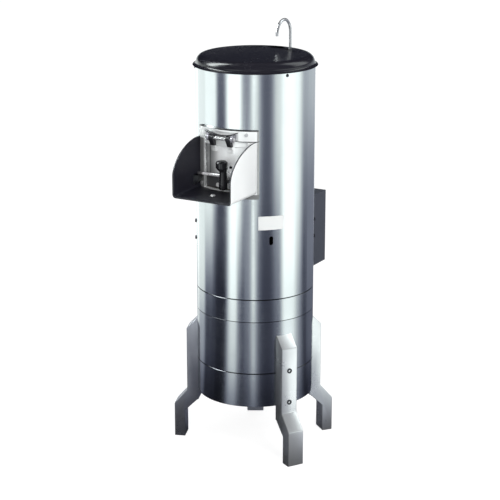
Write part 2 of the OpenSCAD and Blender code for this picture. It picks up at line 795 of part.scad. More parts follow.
module door() color("#cfd3d6")
    difference() {
        union() {
            saddle(0, door_half_w, door_r - door_t, door_r, door_bottom_z, door_top_z);
            door_arm(arm_left_x);
            door_arm(arm_right_x);
            // boss and pivot of the latch
            translate([latch_x, -hub_back + seat, latch_z]) rotate([-90, 0, 0])
                cylinder(r = latch_hub_r + 2, h = 4 + door_t / 2 - door_lean(latch_x));
            translate([latch_x, -hub_front - 0.5, latch_z]) rotate([-90, 0, 0])
                cylinder(r = latch_pivot_r, h = latch_hub_d + 4);
        }
        for (s = door_stud_places)
            radial_rod(s[0], s[1], 2.5 + run, door_r - door_t - 1, door_r + 1);
    }

// How far the door's face falls back at a distance from the middle line
function door_lean(x) = door_r - sqrt(door_r * door_r - x * x) - 1;

// Bearing, height and head radius of each stud
door_stud_places = [[-8, latch_z - 28, 6], [4.5, latch_z - 27, 8], [6, latch_z + 21, 4]];

// Rubber strip round the back of the door
module door_seal() color("#1c1d20")
    difference() {
        saddle(0, door_half_w - 2, door_r - door_t - 1.6, door_r - door_t - seat,
            door_bottom_z + 2, door_top_z - 2);
        front_block(-door_half_w + 10, door_half_w - 10, body_r / 2, body_r + 30,
            door_bottom_z + 10, door_top_z - 10);
    }

// Domed studs that hold the seal and the stops to the door
module door_studs() color("#d8dadc")
    for (s = door_stud_places) {
        radial_rod(s[0], s[1], 2.5, door_r - door_t + 0.3, door_r + 1);
        bearing(s[0]) translate([0, -door_r - seat, s[1]]) rotate([90, 0, 0])
            cylinder(r1 = s[2], r2 = s[2] - 1.5, h = 2.5);
    }

// Turning hub with the bar that bears on the keeper
module latch_arm() color("#dfe1e4") {
    difference() {
        union() {
            translate([latch_x, -hub_front, latch_z]) rotate([-90, 0, 0])
                cylinder(r = latch_hub_r, h = latch_hub_d);
            translate([latch_x, -bar_out, latch_z]) rotate([0, -90, 0])
                cylinder(r = latch_bar_r, h = latch_bar_l - 6);
            translate([latch_x - latch_bar_l + 6, -bar_out, latch_z]) rotate([0, -90, 0])
                cylinder(r1 = latch_bar_r, r2 = latch_bar_r * 0.55, h = 6);
        }
        translate([latch_x, -hub_front - 1, latch_z]) rotate([-90, 0, 0])
            cylinder(r = latch_pivot_r + run, h = latch_hub_d + 2);
    }
}

// Black moulded grip: a broad head on a waisted stem with a rounded foot
module latch_grip() color("#16171a")
    difference() {
        translate([latch_x, -grip_out, latch_z]) rotate_extrude()
            polygon([[0, -grip_below], [grip_stem_r - 2, -grip_below + 1],
                [grip_stem_r + 1, -grip_below + 5], [grip_stem_r + 1, -grip_below + 16],
                [grip_stem_r - 1, -grip_below + 22], [grip_stem_r, grip_above - grip_head_h - 4],
                [grip_head_r, grip_above - grip_head_h + 2], [grip_head_r, grip_above - 4],
                [grip_head_r - 3, grip_above - 1], [grip_head_r - 7, grip_above],
                [0, grip_above]]);
        front_block(-100, 100, 0, hub_front + seat, latch_z - 60, latch_z + 60);
        translate([latch_x, -hub_front - 1, latch_z]) rotate([-90, 0, 0])
            cylinder(r = latch_pivot_r + run, h = 4);
    }

// Wedge on the left cheek, just under the bar's end
module latch_keeper() color("#9da2a7") {
    top = latch_z - latch_bar_r - free_gap;
    inner = tray_half_w - tray_wall - seat;
    tip = door_half_w + 2;
    translate([0, -bar_out + 10, 0]) rotate([90, 0, 0]) linear_extrude(20)
        polygon([[-inner, top], [-tip, top], [-tip - 2, top - 10], [-inner, top - 26]]);
}

// ---- lid ----

// Profile of the lid's shell: thin flange, fillet, wall, shoulder and flat top
module lid() color("#15161a") {
    top = rim_z + lid_h;
    flange_z = rim_z + seat;
    fillet = lid_flange_r - lid_wall_r - 1.5;
    skirt_r = seat_ring_in - 0.4;
    arc_steps = 8;
    shoulder = [for (i = [0:arc_steps]) let (t = 90 * i / arc_steps)
        [lid_wall_r - lid_shoulder_r + lid_shoulder_r * cos(t),
         top - lid_shoulder_r + lid_shoulder_r * sin(t)]];
    flare = [for (i = [0:arc_steps]) let (t = 90 * i / arc_steps)
        [lid_wall_r + fillet - fillet * cos(t) + 0.01, flange_z + 2.5 + fillet * 0.75 * (1 - sin(t))]];
    difference() {
        rotate_extrude() polygon(concat(
            [[0, top]], [for (i = [arc_steps:-1:0]) shoulder[i]],
            flare, [[lid_flange_r, flange_z + 1.2], [lid_flange_r - 1, flange_z]],
            [[skirt_r, flange_z], [skirt_r, rim_z - lid_skirt_h + 2], [skirt_r - 1, rim_z - lid_skirt_h],
             [skirt_r - lid_t, rim_z - lid_skirt_h], [skirt_r - lid_t, rim_z + 6],
             [lid_wall_r - lid_shoulder_r - 2, top - lid_t], [0, top - lid_t]]));
        translate([0, pipe_y - 2 * bend_r, 0]) rotate_extrude() polygon([
            [0, top + 1], [lid_funnel_r - lid_t / 2, top + 1], [lid_funnel_r - lid_t / 2, top - 0.4],
            [lid_inlet_r + 0.5, top - 8.3], [lid_inlet_r + 0.5, top - 15], [0, top - 15]]);
    }
    // dished inlet under the spout
    translate([0, pipe_y - 2 * bend_r, 0]) rotate_extrude() polygon([
        [lid_funnel_r, top - 0.4], [lid_funnel_r, top - lid_t], [lid_inlet_r + lid_t / 2, top - 9],
        [lid_inlet_r + lid_t / 2, top - 14], [lid_inlet_r, top - 14], [lid_inlet_r, top - 8],
        [lid_funnel_r - lid_t / 2 - 1, top - 0.4]]);
}

module lid_seat_ring() color("#9aa0a6")
    difference() {
        tube(drum_in - seat, seat_ring_in, rim_z - 1 - seat_ring_h, rim_z - 1);
        for (a = seat_screw_bearings)
            radial_rod(a, seat_screw_z, 2.5 + run, drum_in - 12, body_r);
    }

// ---- chamber ----

module chamber_liner() color("#4d4a46")
    difference() {
        tube(liner_r, liner_in, pan_top_z + seat, liner_top_z);
        window(0);
    }

module drain_pan() color("#a9adb1")
    difference() {
        union() {
            tube(pan_r, seal_r + seat, pan_z, pan_z + pan_floor_t);
            tube(pan_r, pan_r - 6, pan_z, pan_top_z);
            tube(pan_hub_r, seal_r + seat, pan_z, pan_top_z - 8);
        }
        bearing(waste_bearing) translate([0, -waste_drop_r, pan_z - 1])
            cylinder(r = waste_bend_r + seat, h = pan_floor_t + 2);
    }

// Drops from the pan, turns through a right angle and leaves through the drum's wall
module waste_pipe() color("#8d9298")
    bearing(waste_bearing) {
        bore = waste_r - waste_wall;
        difference() {
            union() {
                translate([0, -waste_drop_r, waste_z + elbow_r])
                    cylinder(r = waste_bend_r, h = pan_z + pan_floor_t - waste_z - elbow_r);
                translate([0, -waste_drop_r - elbow_r, waste_z + elbow_r]) rotate([90, 0, 90])
                    rotate_extrude(angle = -90) translate([elbow_r, 0]) circle(r = waste_bend_r);
                translate([0, -waste_drop_r - elbow_r, waste_z]) rotate([90, 0, 0])
                    cylinder(r = waste_bend_r, h = body_r + waste_out - waste_drop_r - elbow_r);
                translate([0, -body_r - 8, waste_z]) rotate([90, 0, 0])
                    cylinder(r = waste_r, h = waste_out - 8);
            }
            translate([0, -waste_drop_r, waste_z + elbow_r])
                cylinder(r = bore, h = pan_h + elbow_r);
            translate([0, -waste_drop_r - elbow_r, waste_z + elbow_r]) rotate([90, 0, 90])
                rotate_extrude(angle = -90) translate([elbow_r, 0]) circle(r = bore);
            translate([0, -waste_drop_r - elbow_r, waste_z]) rotate([90, 0, 0])
                cylinder(r = bore, h = body_r + waste_out);
        }
    }

module shaft_seal() color("#202124")
    tube(seal_r, spindle_r + run, pan_top_z - 8 - seal_h, pan_top_z - 8);

module bearing_housing() color("#7f858b")
    difference() {
        union() {
            tube(housing_r, 1, housing_z, housing_z + housing_h);
            tube(housing_flange_r, 1, housing_z + housing_h - housing_flange_h, housing_z + housing_h);
        }
        translate([0, 0, housing_z - 1]) cylinder(r = spindle_r + 4, h = housing_h + 2);
        translate([0, 0, housing_z - 1])
            cylinder(r = ball_bearing_r + seat, h = bearing_inset + ball_bearing_h + 1 + seat);
        translate([0, 0, upper_bearing_z - seat])
            cylinder(r = ball_bearing_r + seat, h = housing_z + housing_h - upper_bearing_z + 1);
    }

module spindle_bearings() color("#c8cbcf") {
    tube(ball_bearing_r, spindle_r + run, lower_bearing_z, lower_bearing_z + ball_bearing_h);
    tube(ball_bearing_r, spindle_r + run, upper_bearing_z, upper_bearing_z + ball_bearing_h);
}

module spindle() color("#b0b4b8") {
    translate([0, 0, spindle_bottom_z]) cylinder(r = spindle_r, h = disc_top_z - spindle_bottom_z);
    translate([0, 0, disc_top_z]) cylinder(r = spindle_thread_r, h = 14);
}

module peeling_disc() color("#9b9fa3")
    difference() {
        union() {
            tube(disc_r, 1, disc_z, disc_z + disc_t);
            tube(disc_r - 2, disc_r - 8, disc_z - 1.5, disc_z + 1);
        }
        translate([0, 0, disc_z - 20]) cylinder(r = spindle_r + 0.02, h = 40);
    }

// Abrasive layer with raised waves that throw the load about
module disc_grit() color("#57524b") {
    z0 = disc_z + disc_t;
    wave_r = 30;
    difference() {
        union() {
            tube(disc_r, 1, z0, z0 + grit_t);
            for (i = [0:wave_count - 1]) rotate([0, 0, 360 * i / wave_count]) intersection() {
                translate([34, 0, z0 + grit_t + wave_h - wave_r]) rotate([0, 90, 0])
                    cylinder(r = wave_r, h = disc_r - 44);
                translate([0, -wave_r, z0]) cube([disc_r, 2 * wave_r, 40]);
            }
        }
        translate([0, 0, z0 - 1]) cylinder(r = spindle_r + 0.02, h = 40);
    }
}

module disc_nut() color("#d5d7da")
    difference() {
        union() {
            translate([0, 0, disc_top_z + seat]) cylinder(r = 22, h = 4);
            translate([0, 0, disc_top_z + 4]) cylinder(r1 = 15, r2 = 11, h = 14);
        }
        translate([0, 0, disc_top_z - 1]) cylinder(r = spindle_thread_r + 0.02, h = 15.5);
    }

// ---- drive ----

// A pulley with one V groove
module pulley(r, bore, hub)
    difference() {
        rotate_extrude() polygon([[bore, 0], [r, 0], [r, pulley_h / 2 - belt_w / 2 - 1],
            [r - belt_t - 2, pulley_h / 2 - belt_w / 4], [r - belt_t - 2, pulley_h / 2 + belt_w / 4],
            [r, pulley_h / 2 + belt_w / 2 + 1], [r, pulley_h], [bore, pulley_h]]);
        if (r > 2 * hub) for (z = [-1, pulley_h / 2 + 3]) translate([0, 0, z]) difference() {
            cylinder(r = r - belt_t - 10, h = pulley_h / 2 - 2);
            translate([0, 0, -1]) cylinder(r = hub, h = pulley_h);
        }
    }

module spindle_pulley() color("#6e7378")
    translate([0, 0, pulley_z]) pulley(big_pulley_r, spindle_r + 0.02, 22);

module motor_pulley() color("#6e7378")
    translate([0, motor_offset, pulley_z]) pulley(small_pulley_r, motor_shaft_r + 0.02, 14);

// Outline of a belt round two circles, as two arcs and the runs between them
function belt_loop(r1, r2, c) = let (lean = asin((r1 - r2) / c), n = 40) concat(
    [for (i = [0:n]) let (t = (180 + 2 * lean) * i / n - 180 - lean) [r1 * cos(t), r1 * sin(t)]],
    [for (i = [0:n]) let (t = lean + (180 - 2 * lean) * i / n) [r2 * cos(t), c + r2 * sin(t)]]);

module drive_belt() color("#1b1b1d")
    translate([0, 0, belt_z - belt_w / 2 + 1.7]) linear_extrude(belt_w - 3.4) difference() {
        polygon(belt_loop(big_pulley_r - 1, small_pulley_r - 1, motor_offset));
        polygon(belt_loop(big_pulley_r - belt_t + 1, small_pulley_r - belt_t + 1, motor_offset));
    }

module motor_shaft() color("#b0b4b8")
    translate([0, motor_offset, motor_z + 12])
        cylinder(r = motor_shaft_r, h = pulley_z + pulley_h - motor_z - 9);

module motor_body() color("#3f5a66")
    translate([0, motor_offset, 0]) difference() {
        union() {
            translate([0, 0, motor_z]) cylinder(r = motor_r - 6, h = motor_h);
            translate([0, 0, motor_top_z - motor_flange_h]) cylinder(r = motor_r, h = motor_flange_h);
            translate([0, 0, motor_z]) cylinder(r = motor_r, h = 12);
            for (i = [0:23]) rotate([0, 0, 15 * i]) translate([0, -1.2, motor_z + 1])
                cube([motor_r - 1, 2.4, motor_h - 2]);
        }
        translate([0, 0, motor_z + 11]) cylinder(r = motor_shaft_r + run, h = motor_h);
    }

module fan_cover() color("#2d3135")
    translate([0, motor_offset, motor_z - fan_cover_h]) difference() {
        cylinder(r = motor_r, h = fan_cover_h - seat);
        translate([0, 0, 2]) cylinder(r = motor_r - 2, h = fan_cover_h);
        for (i = [0:11]) rotate([0, 0, 30 * i]) translate([22, 0, -1]) cylinder(r = 4, h = 5);
    }

module motor_plate() color("#75797e")
    difference() {
        tube(drum_in - 1, 28, plate_z, plate_z + motor_plate_t);
        translate([0, motor_offset, plate_z - 1]) cylinder(r = motor_shaft_r + 12, h = 20);
        bearing(waste_bearing + 60) translate([0, -95, plate_z - 1]) cylinder(r = 14, h = 20);
    }

// Angle brackets that tie the motor plate to the drum's wall
module plate_hangers() color("#75797e")
    for (a = hanger_bearings)
        difference() {
            bearing(a) union() {
                intersection() {
                    tube(drum_in - seat, drum_in - seat - hanger_t, hanger_z, hanger_z + hanger_h);
                    front_block(-17, 17, body_r / 2, body_r, hanger_z, hanger_z + hanger_h);
                }
                intersection() {
                    tube(drum_in - seat, drum_in - 34, hanger_z, hanger_z + 5);
                    front_block(-17, 17, body_r / 2, body_r, hanger_z, hanger_z + 5);
                }
            }
            for (up = hanger_screw_ups)
                radial_rod(a, hanger_z + up, 3 + hole_slack, drum_in - 20, body_r);
        }

// ---- water ----

module water_valve() color("#b59a58")
    difference() {
        union() {
            translate([0, pipe_y, valve_z - valve_h / 2]) cylinder(r = valve_r, h = valve_h);
            translate([0, pipe_y, valve_z + valve_h / 2 - 1]) cylinder(r = 9, h = 13, $fn = 6);
            translate([0, pipe_y, valve_z - 10]) rotate([0, -90, 0]) cylinder(r = 11, h = 24);
            translate([-valve_r - 9, pipe_y, valve_z - 10]) rotate([0, -90, 0])
                cylinder(r = inlet_thread_r, h = inlet_thread_l);
            translate([0, pipe_y, valve_z + 4]) rotate([-90, 0, 0]) cylinder(r = 8, h = valve_r + 6);
        }
        translate([-12, pipe_y, valve_z - 10]) rotate([0, -90, 0]) cylinder(r = 8, h = 60);
        translate([0, pipe_y, valve_z + 8]) cylinder(r = pipe_r + run, h = valve_h);
    }

// Quarter-turn lever on the valve's spindle
module valve_lever() color("#1f4f86") {
    y0 = pipe_y + valve_r + 6 + free_gap;
    difference() {
        union() {
            translate([0, y0, valve_z + 4]) rotate([-90, 0, 0]) cylinder(r = 8, h = 5);
            translate([-5, y0 + 1, valve_z + 4]) cube([10, 3.5, 52]);
            translate([0, y0 + 1, valve_z + 56]) rotate([-90, 0, 0]) cylinder(r = 8, h = 3.5);
        }
        translate([0, y0 - 1, valve_z + 4]) rotate([-90, 0, 0]) cylinder(r = 3, h = 3);
    }
}

module riser_pipe() color("#d5d8db")
    translate([0, pipe_y, 0]) tube(pipe_r, pipe_r - pipe_wall, valve_z + 9, swivel_z - 3);

module swivel_nut() color("#cfd2d5")
    translate([0, pipe_y, swivel_z - 12]) difference() {
        union() {
            cylinder(r = 9.5, h = 14, $fn = 6);
            translate([0, 0, 14]) cylinder(r = 7.5, h = 8);
        }
        translate([0, 0, -1]) cylinder(r = pipe_r + run, h = 30);
    }

// Swan neck: an upright tube, half a turn and a short spout
module swan_neck() color("#dadde0")
    difference() {
        swan_body(pipe_r, 0);
        swan_body(pipe_r - pipe_wall, 1);
    }

module swan_body(r, extra) {
    translate([0, pipe_y, swivel_z - 2 - extra]) cylinder(r = r, h = bend_z - swivel_z + 2 + extra);
    translate([0, pipe_y - bend_r, bend_z]) rotate([90, 0, 90]) rotate_extrude(angle = 180)
        translate([bend_r, 0]) circle(r = r);
    translate([0, pipe_y - 2 * bend_r, bend_z - spout_drop - extra]) cylinder(r = r, h = spout_drop + extra);
}

// Clips of the riser and the saddle of the valve, standing on the drum's wall
module pipe_brackets() color("#9aa0a6") {
    for (z = clip_zs) difference() {
        union() {
            translate([0, pipe_y, z]) cylinder(r = pipe_r + 3, h = 12);
            rear_block(-2, 2, body_r, pipe_y - pipe_r - 1, z, z + 12);
            intersection() {
                rear_block(-16, 16, 0, body_r + 3, z, z + 12);
                tube(body_r + 3, body_r + seat, z, z + 12);
            }
        }
        translate([0, pipe_y, z - 1]) cylinder(r = pipe_r + run, h = 14);
        cylinder(r = body_r + seat, h = rim_z);
    }
    difference() {
        union() {
            rear_block(-6, 6, body_r, pipe_y, valve_z - 9, valve_z + 9);
            intersection() {
                rear_block(-24, 24, 0, body_r + 4, valve_z - 16, valve_z + 16);
                tube(body_r + 4, body_r + seat, valve_z - 16, valve_z + 16);
            }
        }
        translate([0, pipe_y, valve_z - 30]) cylinder(r = valve_r + seat, h = 60);
        cylinder(r = body_r + seat, h = rim_z);
    }
}

// ---- controls ----

// Folded box, open to the drum at its back and closed by a cover
module control_box() color("#3a3f46")
    difference() {
        rear_block(-box_w / 2, box_w / 2, 0, box_y - box_wall - seat, box_z, box_top_z);
        rear_block(-box_w / 2 + box_wall, box_w / 2 - box_wall, 0, box_y + 1,
            box_z + box_wall, box_top_z - box_wall);
        translate([0, 0, box_z - 1]) cylinder(r = body_r + seat, h = box_h + 2);
        rear_block(-box_w, box_w, -1, body_r / 2, box_z - 1, box_top_z + 1);
        translate([-box_w / 2 + 28, box_y - 36, box_z - 1]) cylinder(r = 8 + hole_slack, h = 5);
    }

module control_cover() color("#454a52")
    difference() {
        rear_block(-box_w / 2, box_w / 2, box_y - box_wall, box_y, box_z, box_top_z);
        for (s = [-1, 1]) translate([s * button_x, box_y - 10, button_z]) rotate([-90, 0, 0])
            cylinder(r = button_r + 0.4, h = 20);
        translate([0, box_y - 10, knob_z]) rotate([-90, 0, 0]) cylinder(r = 4 + run, h = 20);
        for (p = cover_screw_places) translate([p[0], box_y - 10, p[1]]) rotate([-90, 0, 0])
            cylinder(r = 2 + hole_slack, h = 20);
    }

cover_screw_places = [for (x = [-1, 1], z = [box_z + 8, box_top_z - 8]) [x * (box_w / 2 - 8), z]];

module cover_screws() color("#8a8e93")
    for (p = cover_screw_places) {
        translate([p[0], box_y - 12, p[1]]) rotate([-90, 0, 0]) cylinder(r = 2, h = 13);
        translate([p[0], box_y + seat, p[1]]) rotate([-90, 0, 0]) cylinder(r1 = 4, r2 = 3, h = 2.2);
    }

// A push button: a cap outside the cover and a collar behind it
module push_button(x) {
    translate([x, box_y - 12, button_z]) rotate([-90, 0, 0])
        cylinder(r = button_r, h = 12 + button_proud);
    translate([x, box_y - box_wall - 6, button_z]) rotate([-90, 0, 0])
        cylinder(r = button_r + 2, h = 5);
}

module start_button() color("#2f8f4e") push_button(-button_x);
module stop_button() color("#b3262b") push_button(button_x);

module timer_knob() color("#1d1f23") {
    difference() {
        union() {
            translate([0, box_y + 1.5, knob_z]) rotate([-90, 0, 0])
                cylinder(r1 = knob_r, r2 = knob_r - 3, h = knob_h);
            translate([0, box_y - 8, knob_z]) rotate([-90, 0, 0]) cylinder(r = 4, h = 12);
        }
        for (i = [0:11]) rotate([0, 0, 0]) translate([0, box_y + 6, knob_z]) rotate([0, 30 * i, 0])
            translate([knob_r + 1.5, 0, 0]) rotate([-90, 0, 0]) cylinder(r = 3, h = knob_h);
    }
}

// Starter behind the buttons, standing on the drum's wall
module contactor() color("#c9c4b4")
    difference() {
        union() {
            rear_block(-contactor_w / 2, contactor_w / 2, body_r - 4, box_y - 26,
                box_z + contactor_up, box_z + contactor_up + contactor_h);
            rear_block(-contactor_w / 2 + 6, contactor_w / 2 - 6, box_y - 30, box_y - 20,
                box_z + contactor_up + 12, box_z + contactor_up + contactor_h - 12);
        }
        cylinder(r = body_r + seat, h = rim_z);
    }

module cable_gland() color("#24262a")
    translate([-box_w / 2 + 28, box_y - 36, 0]) difference() {
        union() {
            translate([0, 0, box_z - 16]) cylinder(r = 11, h = 16 - seat, $fn = 6);
            translate([0, 0, box_z - 24]) cylinder(r1 = 8.5, r2 = 10, h = 9);
            translate([0, 0, box_z - 2]) cylinder(r = 8, h = 8);
            translate([0, 0, box_z + box_wall + seat]) cylinder(r = 11, h = 4, $fn = 6);
        }
        translate([0, 0, box_z - 30]) cylinder(r = gland_bore_r, h = 60);
    }

at_axis() base_ring();
at_axis() bottom_plate();
at_axis() pedestal_shell();
at_axis() collar_shell();
at_axis() drum_shell();
at_axis() leg_front_left();
at_axis() leg_front_right();
at_axis() leg_rear_right();
at_axis() leg_rear_left();
at_axis() leg_fixings();
at_axis() shell_screws();
at_axis() nameplate();
at_axis() outlet_frame();
at_axis() chute_tray();
at_axis() tray_bracket();
at_axis() tray_screws();
at_axis() hinge_brackets();
at_axis() hinge_pin();
at_axis() hinge_spring();
at_axis() latch_keeper();
at_axis() door();
at_axis() door_seal();
at_axis() door_studs();
at_axis() latch_arm();
at_axis() latch_grip();
at_axis() lid();
at_axis() lid_seat_ring();
at_axis() chamber_liner();
at_axis() drain_pan();
at_axis() waste_pipe();
at_axis() shaft_seal();
at_axis() bearing_housing();
at_axis() spindle_bearings();
at_axis() spindle();
at_axis() peeling_disc();
at_axis() disc_grit();
at_axis() disc_nut();
at_axis() spindle_pulley();
at_axis() drive_belt();
at_axis() motor_pulley();
at_axis() motor_shaft();
at_axis() motor_body();
at_axis() fan_cover();
at_axis() motor_plate();
at_axis() plate_hangers();
at_axis() water_valve();
at_axis() valve_lever();
at_axis() riser_pipe();
at_axis() swivel_nut();
at_axis() swan_neck();
at_axis() pipe_brackets();
at_axis() control_box();
at_axis() control_cover();
at_axis() cover_screws();
at_axis() start_button();
at_axis() stop_button();
at_axis() timer_knob();
at_axis() contactor();
at_axis() cable_gland();
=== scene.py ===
import math

import bmesh
import bpy
from mathutils import Matrix, Vector


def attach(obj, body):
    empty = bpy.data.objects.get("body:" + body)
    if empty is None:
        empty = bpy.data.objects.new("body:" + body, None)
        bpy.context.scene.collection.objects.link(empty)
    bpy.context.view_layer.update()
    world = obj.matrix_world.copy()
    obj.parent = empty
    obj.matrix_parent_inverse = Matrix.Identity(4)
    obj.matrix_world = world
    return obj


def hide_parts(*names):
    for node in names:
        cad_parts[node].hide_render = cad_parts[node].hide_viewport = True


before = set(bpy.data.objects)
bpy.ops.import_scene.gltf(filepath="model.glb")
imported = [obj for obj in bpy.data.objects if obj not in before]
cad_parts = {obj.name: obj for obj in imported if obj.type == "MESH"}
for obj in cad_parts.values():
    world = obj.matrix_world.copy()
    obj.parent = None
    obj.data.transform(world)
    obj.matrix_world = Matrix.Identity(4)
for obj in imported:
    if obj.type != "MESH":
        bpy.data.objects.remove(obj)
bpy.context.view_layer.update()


# ---------------------------------------------------------------- body shells
# The drum, collar, pedestal and base ring are rolled from stainless sheet and
# slipped over one another. The sheet is brushed round the body, so fine lines
# run level and soft upright reflections form.
axis = Vector((0.007, 0.011, 0.0))


def shader_group(name, inputs, outputs):
    group = bpy.data.node_groups.new(name, "ShaderNodeTree")
    for title, kind, value in inputs:
        socket = group.interface.new_socket(title, in_out="INPUT", socket_type="NodeSocket" + kind)
        socket.default_value = value
    for title, kind in outputs:
        group.interface.new_socket(title, in_out="OUTPUT", socket_type="NodeSocket" + kind)
    start = group.nodes.new("NodeGroupInput")
    end = group.nodes.new("NodeGroupOutput")
    return group, start, end


def pattern(tree, scale, stretch=(1, 1, 1), detail=4.0, turn=(0, 0, 0)):
    place = tree.nodes.new("ShaderNodeTexCoord")
    mapping = tree.nodes.new("ShaderNodeMapping")
    mapping.inputs["Scale"].default_value = stretch
    mapping.inputs["Rotation"].default_value = turn
    noise = tree.nodes.new("ShaderNodeTexNoise")
    noise.inputs["Scale"].default_value = scale
    noise.inputs["Detail"].default_value = detail
    tree.links.new(place.outputs["Object"], mapping.inputs["Vector"])
    tree.links.new(mapping.outputs["Vector"], noise.inputs["Vector"])
    return noise.outputs["Fac"]


def spread(tree, value, low, high):
    change = tree.nodes.new("ShaderNodeMapRange")
    change.inputs["From Min"].default_value = 0.3
    change.inputs["From Max"].default_value = 0.7
    change.inputs["To Min"].default_value = low
    change.inputs["To Max"].default_value = high
    tree.links.new(value, change.inputs["Value"])
    return change.outputs["Result"]


def sums(tree, kind, first, second):
    node = tree.nodes.new("ShaderNodeMath")
    node.operation = kind
    for socket, item in zip(node.inputs, (first, second)):
        if isinstance(item, (int, float)):
            socket.default_value = item
        else:
            tree.links.new(item, socket)
    return node.outputs[0]


def blend_colours(tree, amount, first, second):
    node = tree.nodes.new("ShaderNodeMix")
    node.data_type = "RGBA"
    for title, item in (("Factor", amount), ("A", first), ("B", second)):
        socket = [s for s in node.inputs if s.name == title and s.enabled][0]
        if isinstance(item, (int, float)):
            socket.default_value = item
        elif isinstance(item, tuple):
            socket.default_value = (*item, 1.0)
        else:
            tree.links.new(item, socket)
    return [s for s in node.outputs if s.enabled][0]


def raised(tree, height, strength, distance):
    node = tree.nodes.new("ShaderNodeBump")
    node.inputs["Distance"].default_value = distance
    if isinstance(strength, (int, float)):
        node.inputs["Strength"].default_value = strength
    else:
        tree.links.new(strength, node.inputs["Strength"])
    tree.links.new(height, node.inputs["Height"])
    return node.outputs["Normal"]


# Level brushing lines, broad cloudy wear and a few darker wiped patches.
brushed, given, result = shader_group(
    "brushed_sheet",
    [("Colour", "Color", (0.7, 0.7, 0.7, 1)), ("Worn colour", "Color", (0.5, 0.5, 0.5, 1)),
     ("Roughness", "Float", 0.25), ("Lines", "Float", 0.1)],
    [("Colour", "Color"), ("Roughness", "Float"), ("Normal", "Vector")])
lines = pattern(brushed, 1.0, (5, 5, 1500), 3.0)
clouds = pattern(brushed, 5.0, (1, 1, 0.6), 5.0)
marks = pattern(brushed, 60.0, (1, 1, 0.35), 4.0)
colour = blend_colours(brushed, spread(brushed, clouds, 0.0, 0.55), given.outputs["Colour"],
                       given.outputs["Worn colour"])
rough = sums(brushed, "ADD", given.outputs["Roughness"], spread(brushed, clouds, -0.03, 0.05))
rough = sums(brushed, "ADD", rough, spread(brushed, lines, -0.03, 0.05))
rough = sums(brushed, "ADD", rough, spread(brushed, marks, -0.015, 0.02))
brushed.links.new(colour, result.inputs["Colour"])
brushed.links.new(rough, result.inputs["Roughness"])
brushed.links.new(raised(brushed, lines, given.outputs["Lines"], 0.00012), result.inputs["Normal"])


def new_material(name, metal=0.0):
    made = bpy.data.materials.new(name)
    made.use_nodes = True
    surface = made.node_tree.nodes["Principled BSDF"]
    surface.inputs["Metallic"].default_value = metal
    return made, made.node_tree, surface


def finish_from(made, surface, group, **values):
    tree = made.node_tree
    node = tree.nodes.new("ShaderNodeGroup")
    node.node_tree = group
    for title, value in values.items():
        title = title.replace("_", " ")
        node.inputs[title].default_value = (*value, 1.0) if isinstance(value, tuple) else value
    tree.links.new(node.outputs["Colour"], surface.inputs["Base Color"])
    tree.links.new(node.outputs["Roughness"], surface.inputs["Roughness"])
    tree.links.new(node.outputs["Normal"], surface.inputs["Normal"])
    return node


def dress(made, *nodes):
    for name in nodes:
        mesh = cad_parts[name].data
        mesh.materials.clear()
        mesh.materials.append(made)


def ramp(tree, value, low, high, start, end):
    change = tree.nodes.new("ShaderNodeMapRange")
    change.interpolation_type = "SMOOTHSTEP"
    for title, number in (("From Min", low), ("From Max", high), ("To Min", start), ("To Max", end)):
        change.inputs[title].default_value = number
    tree.links.new(value, change.inputs["Value"])
    return change.outputs["Result"]


def separate(tree):
    place = tree.nodes.new("ShaderNodeTexCoord")
    node = tree.nodes.new("ShaderNodeSeparateXYZ")
    tree.links.new(place.outputs["Object"], node.inputs["Vector"])
    return node.outputs


def darken(made, skin, mask, colour):
    tree = made.node_tree
    surface = tree.nodes["Principled BSDF"]
    mixed = blend_colours(tree, mask, skin.outputs["Colour"], colour)
    tree.links.new(mixed, surface.inputs["Base Color"])


def strongest(tree, first, *others):
    for item in others:
        first = sums(tree, "MAXIMUM", first, item)
    return first


def band(tree, value, low, high, soft):
    return sums(tree, "MULTIPLY", ramp(tree, value, low - soft, low, 0.0, 1.0),
                ramp(tree, value, high, high + soft, 1.0, 0.0))


# Grime fills the joint lines between the shells.
def sheet_metal(name, colour, wear_and_shade, rough, lines=0.1, joints=()):
    made, tree, surface = new_material(name, 1.0)
    skin = finish_from(made, surface, brushed, Colour=colour, Worn_colour=wear_and_shade, Roughness=rough,
                       Lines=lines)
    if joints:
        up = separate(tree)["Z"]
        mask = strongest(tree, *[band(tree, up, low, high, 0.0004) for low, high in joints])
        darken(made, skin, sums(tree, "MULTIPLY", mask, 0.9), (0.02, 0.02, 0.026))
    return made


# Painted shade: the collar's steel is a bit darker than the drum's, and the lower shells' darker still.
drum_finish = sheet_metal("brushed_drum_steel", (0.68, 0.715, 0.725), (0.60, 0.63, 0.64), 0.14,
                          joints=[(0.4375, 0.4388)])
lower_steel_painted_shade = sheet_metal("brushed_lower_steel_painted_shade", (0.585, 0.615, 0.635), (0.50, 0.525, 0.545), 0.17,
                           0.06, joints=[(0.2367, 0.2392), (0.3773, 0.3781)])
collar_finish = sheet_metal("brushed_collar_steel", (0.65, 0.685, 0.695), (0.565, 0.595, 0.605), 0.15,
                            joints=[(0.3779, 0.3786), (0.4363, 0.4375)])
dress(drum_finish, "drum_shell")
dress(collar_finish, "collar_shell")
dress(lower_steel_painted_shade, "pedestal_shell", "base_ring")


# ----------------------------------------------------------------------- legs
# Four cranked legs of cast aluminium with softly rounded edges, bolted to the
# pedestal. The one on the left is coloured dark as painted shade, the front one
# is coloured lighter as painted light with painted shade on its near flank, and
# painted shade darkens every foot towards the floor.
leg_width = 0.0457
leg_back = 0.1506
leg_rounding = 0.0042
leg_side = [(leg_back, 0.340), (0.181, 0.3095), (0.181, 0.134), (0.216, 0.094), (0.216, 0.0),
            (0.1875, 0.0), (0.1875, 0.074), (0.1525, 0.108), (leg_back, 0.108)]
leg_bearings = {"leg_front_left": -69.5, "leg_front_right": 58.5, "leg_rear_right": 140.0,
                "leg_rear_left": -151.0}

